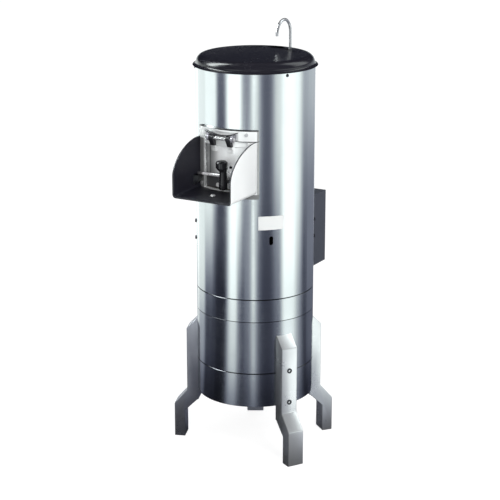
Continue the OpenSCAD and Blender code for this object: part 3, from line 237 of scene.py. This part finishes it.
cast, given, result = shader_group(
    "cast_skin",
    [("Colour", "Color", (0.6, 0.6, 0.6, 1)), ("Dull colour", "Color", (0.5, 0.5, 0.5, 1)),
     ("Roughness", "Float", 0.4), ("Grain", "Float", 0.3)],
    [("Colour", "Color"), ("Roughness", "Float"), ("Normal", "Vector")])
grain = pattern(cast, 900.0, detail=3.0)
pits = pattern(cast, 260.0, detail=6.0)
clouds = pattern(cast, 14.0, detail=5.0)
both = sums(cast, "ADD", grain, sums(cast, "MULTIPLY", pits, 1.4))
colour = blend_colours(cast, spread(cast, clouds, 0.0, 1.0), given.outputs["Colour"],
                       given.outputs["Dull colour"])
rough = sums(cast, "ADD", given.outputs["Roughness"], spread(cast, clouds, -0.05, 0.07))
rough = sums(cast, "ADD", rough, spread(cast, pits, -0.04, 0.04))
cast.links.new(colour, result.inputs["Colour"])
cast.links.new(rough, result.inputs["Roughness"])
cast.links.new(raised(cast, both, given.outputs["Grain"], 0.0003), result.inputs["Normal"])


def cast_metal(name, colour, dull, rough, grain=0.3, metal=1.0):
    made, tree, surface = new_material(name, metal)
    finish_from(made, surface, cast, Colour=colour, Dull_colour=dull, Roughness=rough, Grain=grain)
    return made


def add_piece(name, mesh_work, made, body, *replaced, smooth=35.0, slot=None):
    mesh = bpy.data.meshes.new(name)
    mesh_work.to_mesh(mesh)
    mesh_work.free()
    for item in made if isinstance(made, list) else [made]:
        mesh.materials.append(item)
    mesh.shade_smooth()
    mesh.set_sharp_from_angle(angle=math.radians(smooth))
    piece = bpy.data.objects.new(name, mesh)
    bpy.context.scene.collection.objects.link(piece)
    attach(piece, body)
    if replaced:
        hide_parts(*replaced)
    return piece


def leg_metal(name, colour, dull, shaded_side=None):
    made, tree, surface = new_material(name, 0.8)
    skin = finish_from(made, surface, cast, Colour=colour, Dull_colour=dull, Roughness=0.32, Grain=0.02)
    where = separate(tree)
    # Painted shade darkens each foot towards the floor and, when a side is given, that flank.
    mask = ramp(tree, where["Z"], 0.0, 0.07, 0.35, 0.0)
    if shaded_side is not None:
        turn = math.radians(shaded_side)
        right = sums(tree, "SUBTRACT", where["X"], axis.x)
        back = sums(tree, "SUBTRACT", where["Y"], axis.y)
        across = sums(tree, "ADD", sums(tree, "MULTIPLY", right, math.cos(turn)),
                      sums(tree, "MULTIPLY", back, math.sin(turn)))
        edge = -leg_width / 2
        mask = strongest(tree, mask, ramp(tree, across, edge + 0.0010, edge + 0.0028, 0.72, 0.0))
    darken(made, skin, mask, (0.10, 0.10, 0.115))
    return made


# The left leg is coloured dark as painted shade; the front right leg is lighter as painted light.
lit_and_shaded_leg_finishes = {
    "leg_front_left": leg_metal("painted_shade_aluminium", (0.30, 0.305, 0.345), (0.22, 0.225, 0.26)),
    "leg_front_right": leg_metal("lit_aluminium_shaded_flank", (0.80, 0.82, 0.83), (0.74, 0.76, 0.77),
                                 leg_bearings["leg_front_right"])}
leg_finish = leg_metal("leg_aluminium", (0.74, 0.765, 0.775), (0.68, 0.705, 0.715))
for name, turn in leg_bearings.items():
    work = bmesh.new()
    outline = [work.verts.new((-leg_width / 2, -out, up)) for out, up in leg_side]
    side = work.faces.new(outline)
    grown = bmesh.ops.extrude_face_region(work, geom=[side])
    moved = [v for v in grown["geom"] if isinstance(v, bmesh.types.BMVert)]
    bmesh.ops.translate(work, verts=moved, vec=(leg_width, 0, 0))
    bmesh.ops.recalc_face_normals(work, faces=work.faces)
    rounded = [e for e in work.edges if not all(abs(v.co.y + leg_back) < 1e-5 for v in e.verts)]
    bmesh.ops.bevel(work, geom=rounded, offset=leg_rounding, offset_type="OFFSET", segments=3,
                    profile=0.5, affect="EDGES", material=-1, clamp_overlap=True)
    turned_by = Matrix.Rotation(math.radians(turn), 3, "Z")
    bmesh.ops.rotate(work, verts=work.verts, cent=(0, 0, 0), matrix=turned_by)
    bmesh.ops.translate(work, verts=work.verts, vec=axis)
    add_piece(name + "_casting", work, lit_and_shaded_leg_finishes.get(name, leg_finish), "base", name,
              slot="cast_aluminium")


# ------------------------------------------------------------------ fasteners
# Socket-head bolts hold the legs, and round-headed screws hold the outlet, the
# seat ring, the hangers and the cover. All are plain or blackened steel.
dark_bolt = cast_metal("blackened_bolts", (0.075, 0.075, 0.085), (0.05, 0.05, 0.055), 0.38, 0.1)
plain_screw = cast_metal("steel_screws", (0.62, 0.63, 0.64), (0.50, 0.51, 0.52), 0.34, 0.1, 0.5)
small_dark = cast_metal("dark_small_screws", (0.06, 0.06, 0.07), (0.04, 0.04, 0.05), 0.42, 0.1)
dress(dark_bolt, "leg_fixings")
dress(small_dark, "shell_screws")
dress(plain_screw, "tray_screws", "cover_screws")


# ------------------------------------------------------------------ nameplate
# A thin plate of white-enamelled aluminium, bent to the drum and held by four
# small rivets. It carries no wording.
moulded, given, result = shader_group(
    "smooth_skin",
    [("Colour", "Color", (0.5, 0.5, 0.5, 1)), ("Soiled colour", "Color", (0.4, 0.4, 0.4, 1)),
     ("Roughness", "Float", 0.4), ("Grain", "Float", 0.1)],
    [("Colour", "Color"), ("Roughness", "Float"), ("Normal", "Vector")])
grain = pattern(moulded, 1400.0, detail=2.0)
wiped = pattern(moulded, 22.0, (1, 1, 0.5), 6.0)
specks = pattern(moulded, 180.0, detail=3.0)
colour = blend_colours(moulded, spread(moulded, wiped, 0.0, 0.8), given.outputs["Colour"],
                       given.outputs["Soiled colour"])
rough = sums(moulded, "ADD", given.outputs["Roughness"], spread(moulded, wiped, -0.04, 0.07))
rough = sums(moulded, "ADD", rough, spread(moulded, specks, -0.02, 0.03))
moulded.links.new(colour, result.inputs["Colour"])
moulded.links.new(rough, result.inputs["Roughness"])
moulded.links.new(raised(moulded, grain, given.outputs["Grain"], 0.0001), result.inputs["Normal"])


def moulding(name, colour, soiled, rough, grain=0.1):
    made, tree, surface = new_material(name)
    finish_from(made, surface, moulded, Colour=colour, Soiled_colour=soiled, Roughness=rough,
                Grain=grain)
    return made


plate_finish = moulding("enamelled_plate", (0.70, 0.72, 0.715), (0.67, 0.69, 0.685), 0.30, 0.05)
dress(plate_finish, "nameplate")


# ----------------------------------------------------------------- outlet tray
# One casting: a flat floor with two upright cheeks that sweep back to the body
# in a full curve. It is bright outside, with painted shade towards the body and
# the floor; its inside is coloured near black as painted shade, and its rim is
# coloured dark.
tray_half = 0.0834
tray_low = 0.7165
tray_front = 0.268
tray_corner = 0.009
curve_low = tray_low + 0.0555
curve_rise = 0.077
curve_depth = 0.118
curve_power = 1.75
tray_wall = 0.004
saddle_radius = 0.1602
# Where the floor, the corner and the upright end, as shares of half the section.
floor_end = 0.34
corner_end = 0.46
upright_end = 0.60


def tray_section(share):
    side = -1 if share < 0.5 else 1
    run = abs(share - 0.5) * 2
    flat = tray_half - tray_corner
    if run < floor_end:
        return side * flat * run / floor_end, tray_low
    if run < corner_end:
        turn = (run - floor_end) / (corner_end - floor_end) * math.pi / 2
        up = tray_low + tray_corner * (1 - math.cos(turn))
        return side * (flat + tray_corner * math.sin(turn)), up
    if run < upright_end:
        up = (run - corner_end) / (upright_end - corner_end)
        return side * tray_half, tray_low + tray_corner + up * (curve_low - tray_low - tray_corner)
    turn = (run - upright_end) / (1 - upright_end) * math.pi / 2
    return side * tray_half, curve_low + curve_rise * math.sin(turn) ** (2 / curve_power)


def tray_reach(up):
    if up <= curve_low:
        return tray_front
    left = max(0.0, 1 - ((up - curve_low) / curve_rise) ** curve_power)
    return tray_front - curve_depth + curve_depth * left ** (1 / curve_power)


tray_outside, tree, surface = new_material("tray_bright_casting")
surface.inputs["Specular IOR Level"].default_value = 0.25
skin = finish_from(tray_outside, surface, cast, Colour=(0.86, 0.88, 0.88), Dull_colour=(0.83, 0.85, 0.85),
                   Roughness=0.45, Grain=0.08)
where = separate(tree)
# Painted shade darkens the outside towards the body and towards the floor.
wear_and_shade = sums(tree, "MULTIPLY", ramp(tree, where["Y"], -0.215, -0.150, 0.0, 0.27),
            ramp(tree, where["Z"], 0.735, 0.840, 1.0, 0.5))
darken(tray_outside, skin, wear_and_shade, (0.42, 0.44, 0.46))
# Painted shade: the inside is coloured near black.
tray_inside = moulding("tray_inside_painted_shade", (0.009, 0.009, 0.014), (0.016, 0.016, 0.024), 0.42, 0.25)
tray_rim = cast_metal("tray_dark_rim", (0.060, 0.062, 0.070), (0.035, 0.036, 0.042), 0.42, 0.2, 0.6)
work = bmesh.new()
bmesh.ops.create_grid(work, x_segments=10, y_segments=124, size=1.0)
for v in work.verts:
    across, up = tray_section((v.co.y + 1) / 2)
    near = math.sqrt(saddle_radius ** 2 - across ** 2)
    far = tray_reach(up)
    v.co = Vector((across, -(near + (far - near) * (v.co.x + 1) / 2), up)) + axis
bmesh.ops.recalc_face_normals(work, faces=work.faces)
floor_middle = Vector((axis.x, -0.2, tray_low))
floor_face = min(work.faces, key=lambda f: (f.calc_center_median() - floor_middle).length)
if floor_face.normal.z > 0:
    bmesh.ops.reverse_faces(work, faces=work.faces)
tray = add_piece("outlet_tray_casting", work, [tray_outside, tray_inside, tray_rim], "base", "chute_tray",
                 smooth=50, slot="cast_aluminium")
wall = tray.modifiers.new("wall", "SOLIDIFY")
wall.thickness = tray_wall
wall.offset = -1
wall.use_even_offset = True
wall.material_offset = 1
wall.material_offset_rim = 2
soft = tray.modifiers.new("soft_rim", "BEVEL")
soft.width = 0.0008
soft.segments = 2
soft.limit_method = "ANGLE"
soft.angle_limit = math.radians(50)
dress(cast_metal("bracket_casting", (0.40, 0.41, 0.42), (0.30, 0.31, 0.32), 0.45), "tray_bracket")


# ----------------------------------------------------------------- saddle frame
# A curved aluminium casting, screwed to the drum round its window, with a recess
# at the top for the door's hinge. Painted shade darkens its top edge, a band under
# the bar, its right side face and a strip down its left side, and a painted shadow
# lies on it under the tray floor.
frame_finish, tree, surface = new_material("saddle_casting", 0.35)
skin = finish_from(frame_finish, surface, cast, Colour=(0.93, 0.95, 0.945), Dull_colour=(0.87, 0.89, 0.89),
                   Roughness=0.36, Grain=0.12)
where = separate(tree)
# Painted shade and painted shadow lines, darkened together below.
painted_shade_top_edge = ramp(tree, where["Z"], 0.8750, 0.8762, 0.0, 1.0)
painted_shade_under_bar = sums(tree, "MULTIPLY", band(tree, where["Z"], 0.8488, 0.8502, 0.0010),
                ramp(tree, where["X"], 0.022, 0.026, 0.0, 1.0))
painted_shade_side_face = sums(tree, "MULTIPLY", ramp(tree, where["X"], 0.0896, 0.0902, 0.0, 1.0), 0.62)
painted_shadow_under_tray = ramp(tree, where["Z"], 0.7152, 0.7165, 0.85, 0.0)
painted_shade_left_strip = sums(tree, "MULTIPLY", ramp(tree, where["X"], -0.0592, -0.0574, 0.68, 0.0),
                  ramp(tree, where["Z"], 0.845, 0.847, 1.0, 0.0))
mask = strongest(tree, painted_shade_top_edge, painted_shade_under_bar, painted_shade_side_face, painted_shadow_under_tray, painted_shade_left_strip)
darken(frame_finish, skin, sums(tree, "MULTIPLY", mask, 0.94), (0.02, 0.02, 0.022))
dress(frame_finish, "outlet_frame")
dress(cast_metal("keeper_casting", (0.40, 0.41, 0.42), (0.30, 0.31, 0.32), 0.40), "latch_keeper")


# ------------------------------------------------------------------------ door
# A curved aluminium door with two arms that hang from the hinge pin. A rubber
# strip seals its back and bright studs hold the strip. Its arms are painted
# black, and painted shade darkens its foot, its left side, its left edge and a
# line along its fold.
door_finish, tree, surface = new_material("door_casting", 0.25)
skin = finish_from(door_finish, surface, cast, Colour=(0.93, 0.95, 0.95), Dull_colour=(0.88, 0.90, 0.905),
                   Roughness=0.34, Grain=0.2)
where = separate(tree)
painted_arms = ramp(tree, where["Z"], 0.8341, 0.8348, 0.0, 1.0)
# Painted shade on the foot, the left side, the left edge and the fold.
painted_shade_foot = ramp(tree, where["Z"], 0.756, 0.770, 0.92, 0.0)
painted_shade_left_side = ramp(tree, where["X"], -0.036, -0.006, 0.66, 0.0)
painted_shade_edge = ramp(tree, where["X"], -0.0512, -0.0500, 0.9, 0.0)
painted_shade_fold = sums(tree, "MULTIPLY", band(tree, where["X"], -0.0412, -0.0370, 0.0008), 0.85)
mask = strongest(tree, painted_arms, painted_shade_foot, painted_shade_left_side, painted_shade_edge, painted_shade_fold)
darken(door_finish, skin, mask, (0.02, 0.02, 0.024))
rubber = moulding("black_rubber", (0.018, 0.018, 0.020), (0.035, 0.035, 0.037), 0.62, 0.4)
dress(door_finish, "door")
dress(rubber, "door_seal")
stud_finish, tree, surface = new_material("bright_studs", 0.3)
skin = finish_from(stud_finish, surface, cast, Colour=(0.93, 0.94, 0.94), Dull_colour=(0.86, 0.87, 0.87),
                   Roughness=0.25, Grain=0.05)
painted_heads = ramp(tree, separate(tree)["Z"], 0.765, 0.767, 0.0, 1.0)
darken(stud_finish, skin, painted_heads, (0.015, 0.015, 0.02))
dress(stud_finish, "door_studs")


# ----------------------------------------------------------------- hinge parts
# Two cast lugs carry the pin, and a bowed leaf spring of blackened steel lies
# across them.
black_steel = moulding("blackened_steel", (0.014, 0.013, 0.018), (0.026, 0.025, 0.032), 0.42, 0.3)
dress(black_steel, "hinge_spring")
dress(cast_metal("lug_casting", (0.40, 0.395, 0.44), (0.31, 0.305, 0.345), 0.38, 0.3, 0.6),
      "hinge_brackets")
dress(cast_metal("pin_steel", (0.72, 0.73, 0.74), (0.60, 0.61, 0.62), 0.25, 0.1, 0.6), "hinge_pin")


# ----------------------------------------------------------------------- latch
# A satin steel hub turns on the door's pivot. Its bar reaches to the keeper on
# the left cheek, where painted shade darkens its tip, and a black moulded grip
# with a broad head turns it.
grip_out = 0.1815
grip_middle = 0.7605
grip_back = 0.1736
grip_outline = [(0.0, 0.043), (0.009, 0.043), (0.015, 0.040), (0.015, 0.024), (0.0092, 0.016),
                (0.0096, -0.006), (0.0108, -0.016), (0.0108, -0.029), (0.0, -0.033)]
grip_lean = 0.004
lean_from = grip_middle + 0.026
lean_run = 0.012
grip_finish = moulding("black_grip", (0.010, 0.010, 0.012), (0.020, 0.020, 0.023), 0.22, 0.06)
work = bmesh.new()
line = [work.verts.new((out, 0, up)) for out, up in grip_outline]
for first, second in zip(line, line[1:]):
    work.edges.new((first, second))
bmesh.ops.bevel(work, geom=line[2:-1], offset=0.0030, offset_type="OFFSET", segments=5, profile=0.5,
                affect="VERTICES", material=-1)
bmesh.ops.spin(work, geom=work.verts[:] + work.edges[:], cent=(0, 0, 0), axis=(0, 0, 1), dvec=(0, 0, 0),
               angle=2 * math.pi, steps=48, use_merge=True)
bmesh.ops.remove_doubles(work, verts=work.verts, dist=1e-6)
bmesh.ops.recalc_face_normals(work, faces=work.faces)
bmesh.ops.translate(work, verts=work.verts, vec=axis + Vector((0.007, -grip_out, grip_middle)))
for v in work.verts:
    v.co.y = min(v.co.y, axis.y - grip_back)
    v.co.x += grip_lean * min(1.0, max(0.0, (lean_from - v.co.z) / lean_run))
add_piece("latch_grip_moulding", work, grip_finish, "latch", "latch_grip", smooth=60, slot="black_moulding")
latch_steel, tree, surface = new_material("latch_steel", 0.45)
skin = finish_from(latch_steel, surface, cast, Colour=(0.93, 0.93, 0.95), Dull_colour=(0.88, 0.88, 0.90),
                   Roughness=0.30, Grain=0.03)
# Painted shade darkens the bar's tip.
painted_shade_tip = ramp(tree, separate(tree)["X"], -0.053, -0.047, 0.9, 0.0)
darken(latch_steel, skin, painted_shade_tip, (0.03, 0.03, 0.034))
dress(latch_steel, "latch_arm")


# ------------------------------------------------------------------------- lid
# A glossy black lid, pressed from thick sheet: a thin flange, a hollow fillet, a
# wide round shoulder and a flat top with a dished inlet under the spout.
rim = 1.016
lid_top = rim + 0.0275
inlet_middle = Vector((0, 0.1136, 0))


def arc(out, up, wide, tall, start, end, steps):
    turns = [math.radians(start + (end - start) * i / steps) for i in range(steps + 1)]
    return [(out + wide * math.cos(t), up + tall * math.sin(t)) for t in turns]


def turned(work, outline, steps, middle):
    line = [work.verts.new((out, 0, up)) for out, up in outline]
    sides = [work.edges.new(pair) for pair in zip(line, line[1:])]
    bmesh.ops.spin(work, geom=line + sides, cent=(0, 0, 0), axis=(0, 0, 1), dvec=(0, 0, 0),
                   angle=2 * math.pi, steps=steps, use_merge=True)
    moved = {v for f in work.faces for v in f.verts if not f.tag}
    bmesh.ops.translate(work, verts=list(moved), vec=middle)
    for f in work.faces:
        f.tag = True


def open_ring(work, up, out, middle):
    return [e for e in work.edges if e.is_boundary and all(
        abs(v.co.z - up) < 1e-5 and abs((v.co - middle).xy.length - out) < 1e-5 for v in e.verts)]


shoulder = 0.0195
flat_out, inlet_out = 0.1310, 0.0170
lid_under = lid_top - 0.0035
under_out, inlet_under_out = 0.1290, 0.0143
lid_outline = (arc(flat_out, lid_top - shoulder, shoulder, shoulder, 90, 0, 16)
               + arc(0.1575, rim + 0.0078, 0.0070, 0.0053, 180, 270, 8)
               + [(0.1590, rim + 0.0012), (0.1580, rim + 0.0002), (0.1470, rim + 0.0002),
                  (0.1470, rim - 0.012), (0.1460, rim - 0.014), (0.1435, rim - 0.014),
                  (0.1435, rim + 0.006), (under_out, lid_under)])
inlet_outline = [(inlet_out, lid_top), (0.0160, lid_top - 0.0005), (0.0120, lid_top - 0.0075),
                 (0.0120, lid_top - 0.014), (0.0137, lid_top - 0.014), (0.0137, lid_top - 0.009),
                 (inlet_under_out, lid_under)]
lid_steps = 128
work = bmesh.new()
turned(work, lid_outline, lid_steps, Vector((0, 0, 0)))
turned(work, inlet_outline, lid_steps, inlet_middle)
for up, wide, narrow in ((lid_top, flat_out, inlet_out), (lid_under, under_out, inlet_under_out)):
    bmesh.ops.bridge_loops(work, edges=open_ring(work, up, wide, Vector((0, 0, 0)))
                           + open_ring(work, up, narrow, inlet_middle))
bmesh.ops.remove_doubles(work, verts=work.verts, dist=1e-6)
bmesh.ops.recalc_face_normals(work, faces=work.faces)
bmesh.ops.translate(work, verts=work.verts, vec=axis)
lid_finish = moulding("lid_gloss_black", (0.0105, 0.0103, 0.0150), (0.0140, 0.0135, 0.0190), 0.19,
                      0.05)
lid_finish.node_tree.nodes["Principled BSDF"].inputs["Specular IOR Level"].default_value = 0.35
add_piece("lid_pressing", work, lid_finish, "lid", "lid", smooth=40, slot="lid_black")


# ------------------------------------------------------------------ water pipe
# The riser and the swan neck are chromed tube. The neck turns in a hexagonal
# union, and small brackets hold the riser off the drum.
pipe_chrome, tree, surface = new_material("pipe_chrome", 0.7)
finish_from(pipe_chrome, surface, moulded, Colour=(0.58, 0.59, 0.61), Soiled_colour=(0.50, 0.51, 0.53),
            Roughness=0.16, Grain=0.02)
dress(pipe_chrome, "riser_pipe", "swan_neck", "swivel_nut")
dress(sheet_metal("bracket_steel", (0.50, 0.51, 0.52), (0.42, 0.43, 0.44), 0.32), "pipe_brackets")


# ----------------------------------------------------------------- water valve
# A cast brass ball valve under the riser, with a threaded inlet for the hose and
# a blue coated lever.
brass = cast_metal("valve_brass", (0.62, 0.47, 0.22), (0.48, 0.35, 0.16), 0.34, 0.25)
dress(brass, "water_valve")
dress(moulding("lever_blue", (0.030, 0.100, 0.280), (0.022, 0.075, 0.220), 0.30, 0.08), "valve_lever")


# ----------------------------------------------------------------- control box
# A folded steel box on the back of the body, painted dark grey. Its screwed cover
# faces the rear and carries the controls.
box_paint = moulding("dark_grey_paint", (0.056, 0.062, 0.080), (0.045, 0.050, 0.066), 0.38, 0.30)
dress(box_paint, "control_box", "control_cover")


# ------------------------------------------------------------------- controls
# Green start and red stop buttons, a fluted black knob for the timer, and the
# contactor and cable gland of the same box.
dress(moulding("green_button", (0.02, 0.26, 0.07), (0.015, 0.20, 0.05), 0.28, 0.05), "start_button")
dress(moulding("red_button", (0.45, 0.015, 0.02), (0.36, 0.012, 0.016), 0.28, 0.05), "stop_button")
dress(moulding("knob_black", (0.012, 0.012, 0.014), (0.022, 0.022, 0.025), 0.30, 0.08), "timer_knob")
dress(moulding("contactor_ivory", (0.60, 0.56, 0.45), (0.52, 0.48, 0.38), 0.45, 0.15), "contactor")
dress(moulding("gland_black", (0.016, 0.016, 0.018), (0.030, 0.030, 0.033), 0.48, 0.2), "cable_gland")


# -------------------------------------------------------------- inner workings
# The abrasive disc and liner, the drain pan and the spindle in its bearings, with
# the motor and its belt drive under them.
grit_finish, tree, surface = new_material("abrasive_grit")
grit = pattern(tree, 420.0, detail=2.0)
grit_colour = blend_colours(tree, spread(tree, grit, 0.0, 1.0), (0.10, 0.088, 0.075),
                            (0.23, 0.205, 0.175))
tree.links.new(grit_colour, surface.inputs["Base Color"])
tree.links.new(raised(tree, grit, 0.9, 0.0012), surface.inputs["Normal"])
surface.inputs["Roughness"].default_value = 0.85
dress(grit_finish, "disc_grit", "chamber_liner")
dress(cast_metal("inner_casting", (0.55, 0.56, 0.57), (0.44, 0.45, 0.46), 0.45, 0.5),
      "peeling_disc", "drain_pan")
dress(cast_metal("grey_iron", (0.17, 0.175, 0.18), (0.11, 0.115, 0.12), 0.55, 0.6), "bearing_housing",
      "spindle_pulley", "motor_pulley")
chrome, tree, surface = new_material("bright_chrome", 1.0)
finish_from(chrome, surface, moulded, Colour=(0.80, 0.81, 0.82), Soiled_colour=(0.72, 0.73, 0.74),
            Roughness=0.10, Grain=0.02)
dress(chrome, "disc_nut", "spindle_bearings")
dress(sheet_metal("turned_steel", (0.52, 0.53, 0.54), (0.44, 0.45, 0.46), 0.25), "spindle", "motor_shaft",
      "waste_pipe", "lid_seat_ring")
dress(sheet_metal("plain_plate_steel", (0.33, 0.34, 0.355), (0.25, 0.26, 0.275), 0.42), "bottom_plate",
      "motor_plate", "plate_hangers")
dress(rubber, "drive_belt", "shaft_seal")
dress(moulding("motor_paint", (0.055, 0.10, 0.125), (0.042, 0.078, 0.10), 0.45, 0.3), "motor_body")
dress(moulding("fan_cover_paint", (0.030, 0.032, 0.036), (0.022, 0.024, 0.027), 0.50, 0.3), "fan_cover")


# ----------------------------------------------------------------------- studio
# A pale floor and backdrop, a round light tent with dark flags for the metal to
# mirror, soft lamps and the camera. The tent shows only in reflections.
def stage_mesh(name, work, made, seen=True):
    mesh = bpy.data.meshes.new(name)
    work.to_mesh(mesh)
    work.free()
    mesh.materials.append(made)
    item = bpy.data.objects.new(name, mesh)
    bpy.context.scene.collection.objects.link(item)
    if not seen:
        item.visible_camera = False
        item.visible_diffuse = False
        item.visible_shadow = False
        item.visible_transmission = False


def vector_step(tree, kind, first, second=None, output="Vector"):
    node = tree.nodes.new("ShaderNodeVectorMath")
    node.operation = kind
    for socket, item in zip(node.inputs, (first, second)):
        if isinstance(item, tuple):
            socket.default_value = item
        elif item is not None:
            tree.links.new(item, socket)
    return node.outputs[output]


# What the metal mirrors: bright all round, with soft dark flags, and a floor
# that grows dark close to the part. Each flag has a bearing, a half width and
# an edge in degrees, then its depth close by and far off, and those distances.
flags = [(-38, 10, 6, 0.36, 0.91, 1.6, 3.2), (-40, 16, 7, 0.97, -0.04, 1.7, 5.1),
         (-68, 15, 5, 0.94, 0.16, 1.1, 3.2), (13, 7, 7, 0.82, 0.78, 0.8, 3.1),
         (2, 5, 5, 0.81, -0.10, 1.4, 3.5), (51, 10, 10, 0.72, 0.86, 0.9, 4.1),
         (55, 25, 6, 0.82, 0.36, 2.0, 4.2), (160, 32, 9, 0.86, 0.60, 2.6, 5.4),
         (129, 11, 12, 0.67, 0.16, 1.3, 3.4), (-97, 15, 4, 0.57, 0.28, 1.0, 1.5),
         (-150, 26, 9, 0.60, 0.30, 1.2, 2.6), (92, 12, 8, -0.55, 0.0, 0.9, 1.5)]


def bearing_cover(tree, heading, bearing, half, soft):
    turn = math.radians(bearing)
    along = vector_step(tree, "DOT_PRODUCT", heading, (math.sin(turn), -math.cos(turn), 0.0), "Value")
    outer = math.radians(half + soft)
    inner = math.radians(max(half - soft, 0))
    return ramp(tree, along, math.cos(outer), math.cos(inner), 0.0, 1.0)


def mirrored_level(tree):
    place = tree.nodes.new("ShaderNodeTexCoord").outputs["Object"]
    from_axis = vector_step(tree, "SUBTRACT", place, tuple(axis))
    flat = vector_step(tree, "MULTIPLY", from_axis, (1.0, 1.0, 0.0))
    away = vector_step(tree, "LENGTH", flat, output="Value")
    heading = vector_step(tree, "NORMALIZE", flat)
    level = sums(tree, "MULTIPLY", ramp(tree, away, 0.49, 0.95, 0.30, 1.14),
                 ramp(tree, away, 0.95, 2.3, 1.0, 1.48))
    for bearing, half, soft, near_depth, far_depth, near, far in flags:
        depth = ramp(tree, away, near, far, near_depth, far_depth)
        dimmed = sums(tree, "MULTIPLY", bearing_cover(tree, heading, bearing, half, soft), depth)
        level = sums(tree, "MULTIPLY", level, sums(tree, "SUBTRACT", 1.0, dimmed))
    return level, heading


# Dim parts of what is mirrored are bluer than the bright parts.
def mirrored_tint(tree, level):
    share = sums(tree, "MINIMUM", sums(tree, "POWER", level, 0.12), 1.0)
    return blend_colours(tree, share, (0.90, 1.0, 2.60), (0.94, 1.0, 0.985))


floor_finish = bpy.data.materials.new("studio_floor")
floor_finish.use_nodes = True
tree = floor_finish.node_tree
surface = tree.nodes["Principled BSDF"]
surface.inputs["Roughness"].default_value = 1.0
surface.inputs["Specular IOR Level"].default_value = 0.0
paths = tree.nodes.new("ShaderNodeLightPath")
place = tree.nodes.new("ShaderNodeTexCoord").outputs["Object"]
seen_level = ramp(tree, vector_step(tree, "LENGTH", place, output="Value"), 0.8, 5.0, 0.83, 0.90)
tree.links.new(blend_colours(tree, paths.outputs["Is Glossy Ray"], (0.34, 0.34, 0.34), (0.0, 0.0, 0.0)),
               surface.inputs["Base Color"])
direct = sums(tree, "MAXIMUM", paths.outputs["Is Camera Ray"], paths.outputs["Is Transmission Ray"])
glow_level = sums(tree, "MULTIPLY", direct, seen_level)
level = mirrored_level(tree)[0]
glossy_level = sums(tree, "MULTIPLY", paths.outputs["Is Glossy Ray"], level)
glow_colour = blend_colours(tree, paths.outputs["Is Glossy Ray"], (1.0, 1.0, 1.0),
                            mirrored_tint(tree, level))
tree.links.new(glow_colour, surface.inputs["Emission Color"])
tree.links.new(sums(tree, "ADD", glow_level, glossy_level), surface.inputs["Emission Strength"])
floor_half = 30.0
floor_drop = 0.0005
work = bmesh.new()
bmesh.ops.create_grid(work, x_segments=1, y_segments=1, size=floor_half)
bmesh.ops.translate(work, verts=work.verts, vec=(0, 0, -floor_drop))
stage_mesh("studio_floor", work, floor_finish)

# Above the part the tent is dark, apart from two tall bright cards.
tent_cloth = bpy.data.materials.new("tent_cloth")
tent_cloth.use_nodes = True
tree = tent_cloth.node_tree
tree.nodes.clear()
glow = tree.nodes.new("ShaderNodeEmission")
level, heading = mirrored_level(tree)
height = separate(tree)["Z"]
level = sums(tree, "MULTIPLY", level, ramp(tree, height, 1.05, 1.45, 1.0, 0.02))
cards = sums(tree, "ADD", sums(tree, "MULTIPLY", bearing_cover(tree, heading, -66, 8, 6), 2.4),
             sums(tree, "MULTIPLY", bearing_cover(tree, heading, 132, 16, 10), 0.28))
high = sums(tree, "MULTIPLY", ramp(tree, height, 1.6, 2.4, 0.0, 10.0),
            ramp(tree, height, 8.0, 11.0, 1.0, 0.0))
level = sums(tree, "ADD", level, sums(tree, "MULTIPLY", cards, high))
tree.links.new(level, glow.inputs["Strength"])
tree.links.new(mirrored_tint(tree, level), glow.inputs["Color"])
tree.links.new(glow.outputs[0], tree.nodes.new("ShaderNodeOutputMaterial").inputs["Surface"])
tent_radius = 5.0
tent_height = 12.0
work = bmesh.new()
bmesh.ops.create_circle(work, radius=tent_radius, segments=96, cap_ends=False)
grown = bmesh.ops.extrude_edge_only(work, edges=work.edges[:])
top = [v for v in grown["geom"] if isinstance(v, bmesh.types.BMVert)]
bmesh.ops.translate(work, verts=top, vec=(0, 0, tent_height))
bmesh.ops.translate(work, verts=work.verts, vec=axis)
stage_mesh("light_tent", work, tent_cloth, seen=False)

world = bpy.data.worlds.new("studio")
bpy.context.scene.world = world
world.use_nodes = True
tree = world.node_tree
back = tree.nodes["Background"]
paths = tree.nodes.new("ShaderNodeLightPath")
seen = sums(tree, "MAXIMUM", paths.outputs["Is Camera Ray"], paths.outputs["Is Transmission Ray"])
level = sums(tree, "ADD", 0.42, sums(tree, "MULTIPLY", seen, 0.58))
level = sums(tree, "SUBTRACT", level, sums(tree, "MULTIPLY", paths.outputs["Is Glossy Ray"], 0.36))
tree.links.new(level, back.inputs["Strength"])
back.inputs["Color"].default_value = (1, 1, 1, 1)


def soft_lamp(name, power, size, place, target):
    data = bpy.data.lights.new(name, "AREA")
    data.energy = power
    data.size = size
    lamp = bpy.data.objects.new(name, data)
    bpy.context.scene.collection.objects.link(lamp)
    lamp.location = place
    lamp.visible_glossy = False
    lamp.rotation_mode = "QUATERNION"
    lamp.rotation_quaternion = (Vector(target) - Vector(place)).to_track_quat("-Z", "Y")


soft_lamp("key_lamp", 100, 1.9, (2.8, -1.7, 2.4), (0, 0, 0.6))
soft_lamp("front_lamp", 46, 1.5, (1.3, -3.2, 1.7), (0, 0, 0.7))
soft_lamp("top_lamp", 20, 1.5, (0.2, 0.6, 3.4), (0, 0, 0.8))

camera_data = bpy.data.cameras.new("camera")
camera_data.sensor_width = 36.0
camera_data.lens = 114.893
camera = bpy.data.objects.new("camera", camera_data)
bpy.context.scene.collection.objects.link(camera)
camera.location = (1.9687, -3.4749, 1.7000)
target = Vector((-0.00476, 0.00438, 0.52652))
camera.rotation_mode = "QUATERNION"
camera.rotation_quaternion = (target - camera.location).to_track_quat("-Z", "Y")
bpy.context.scene.camera = camera
bpy.context.scene.view_settings.view_transform = "Standard"
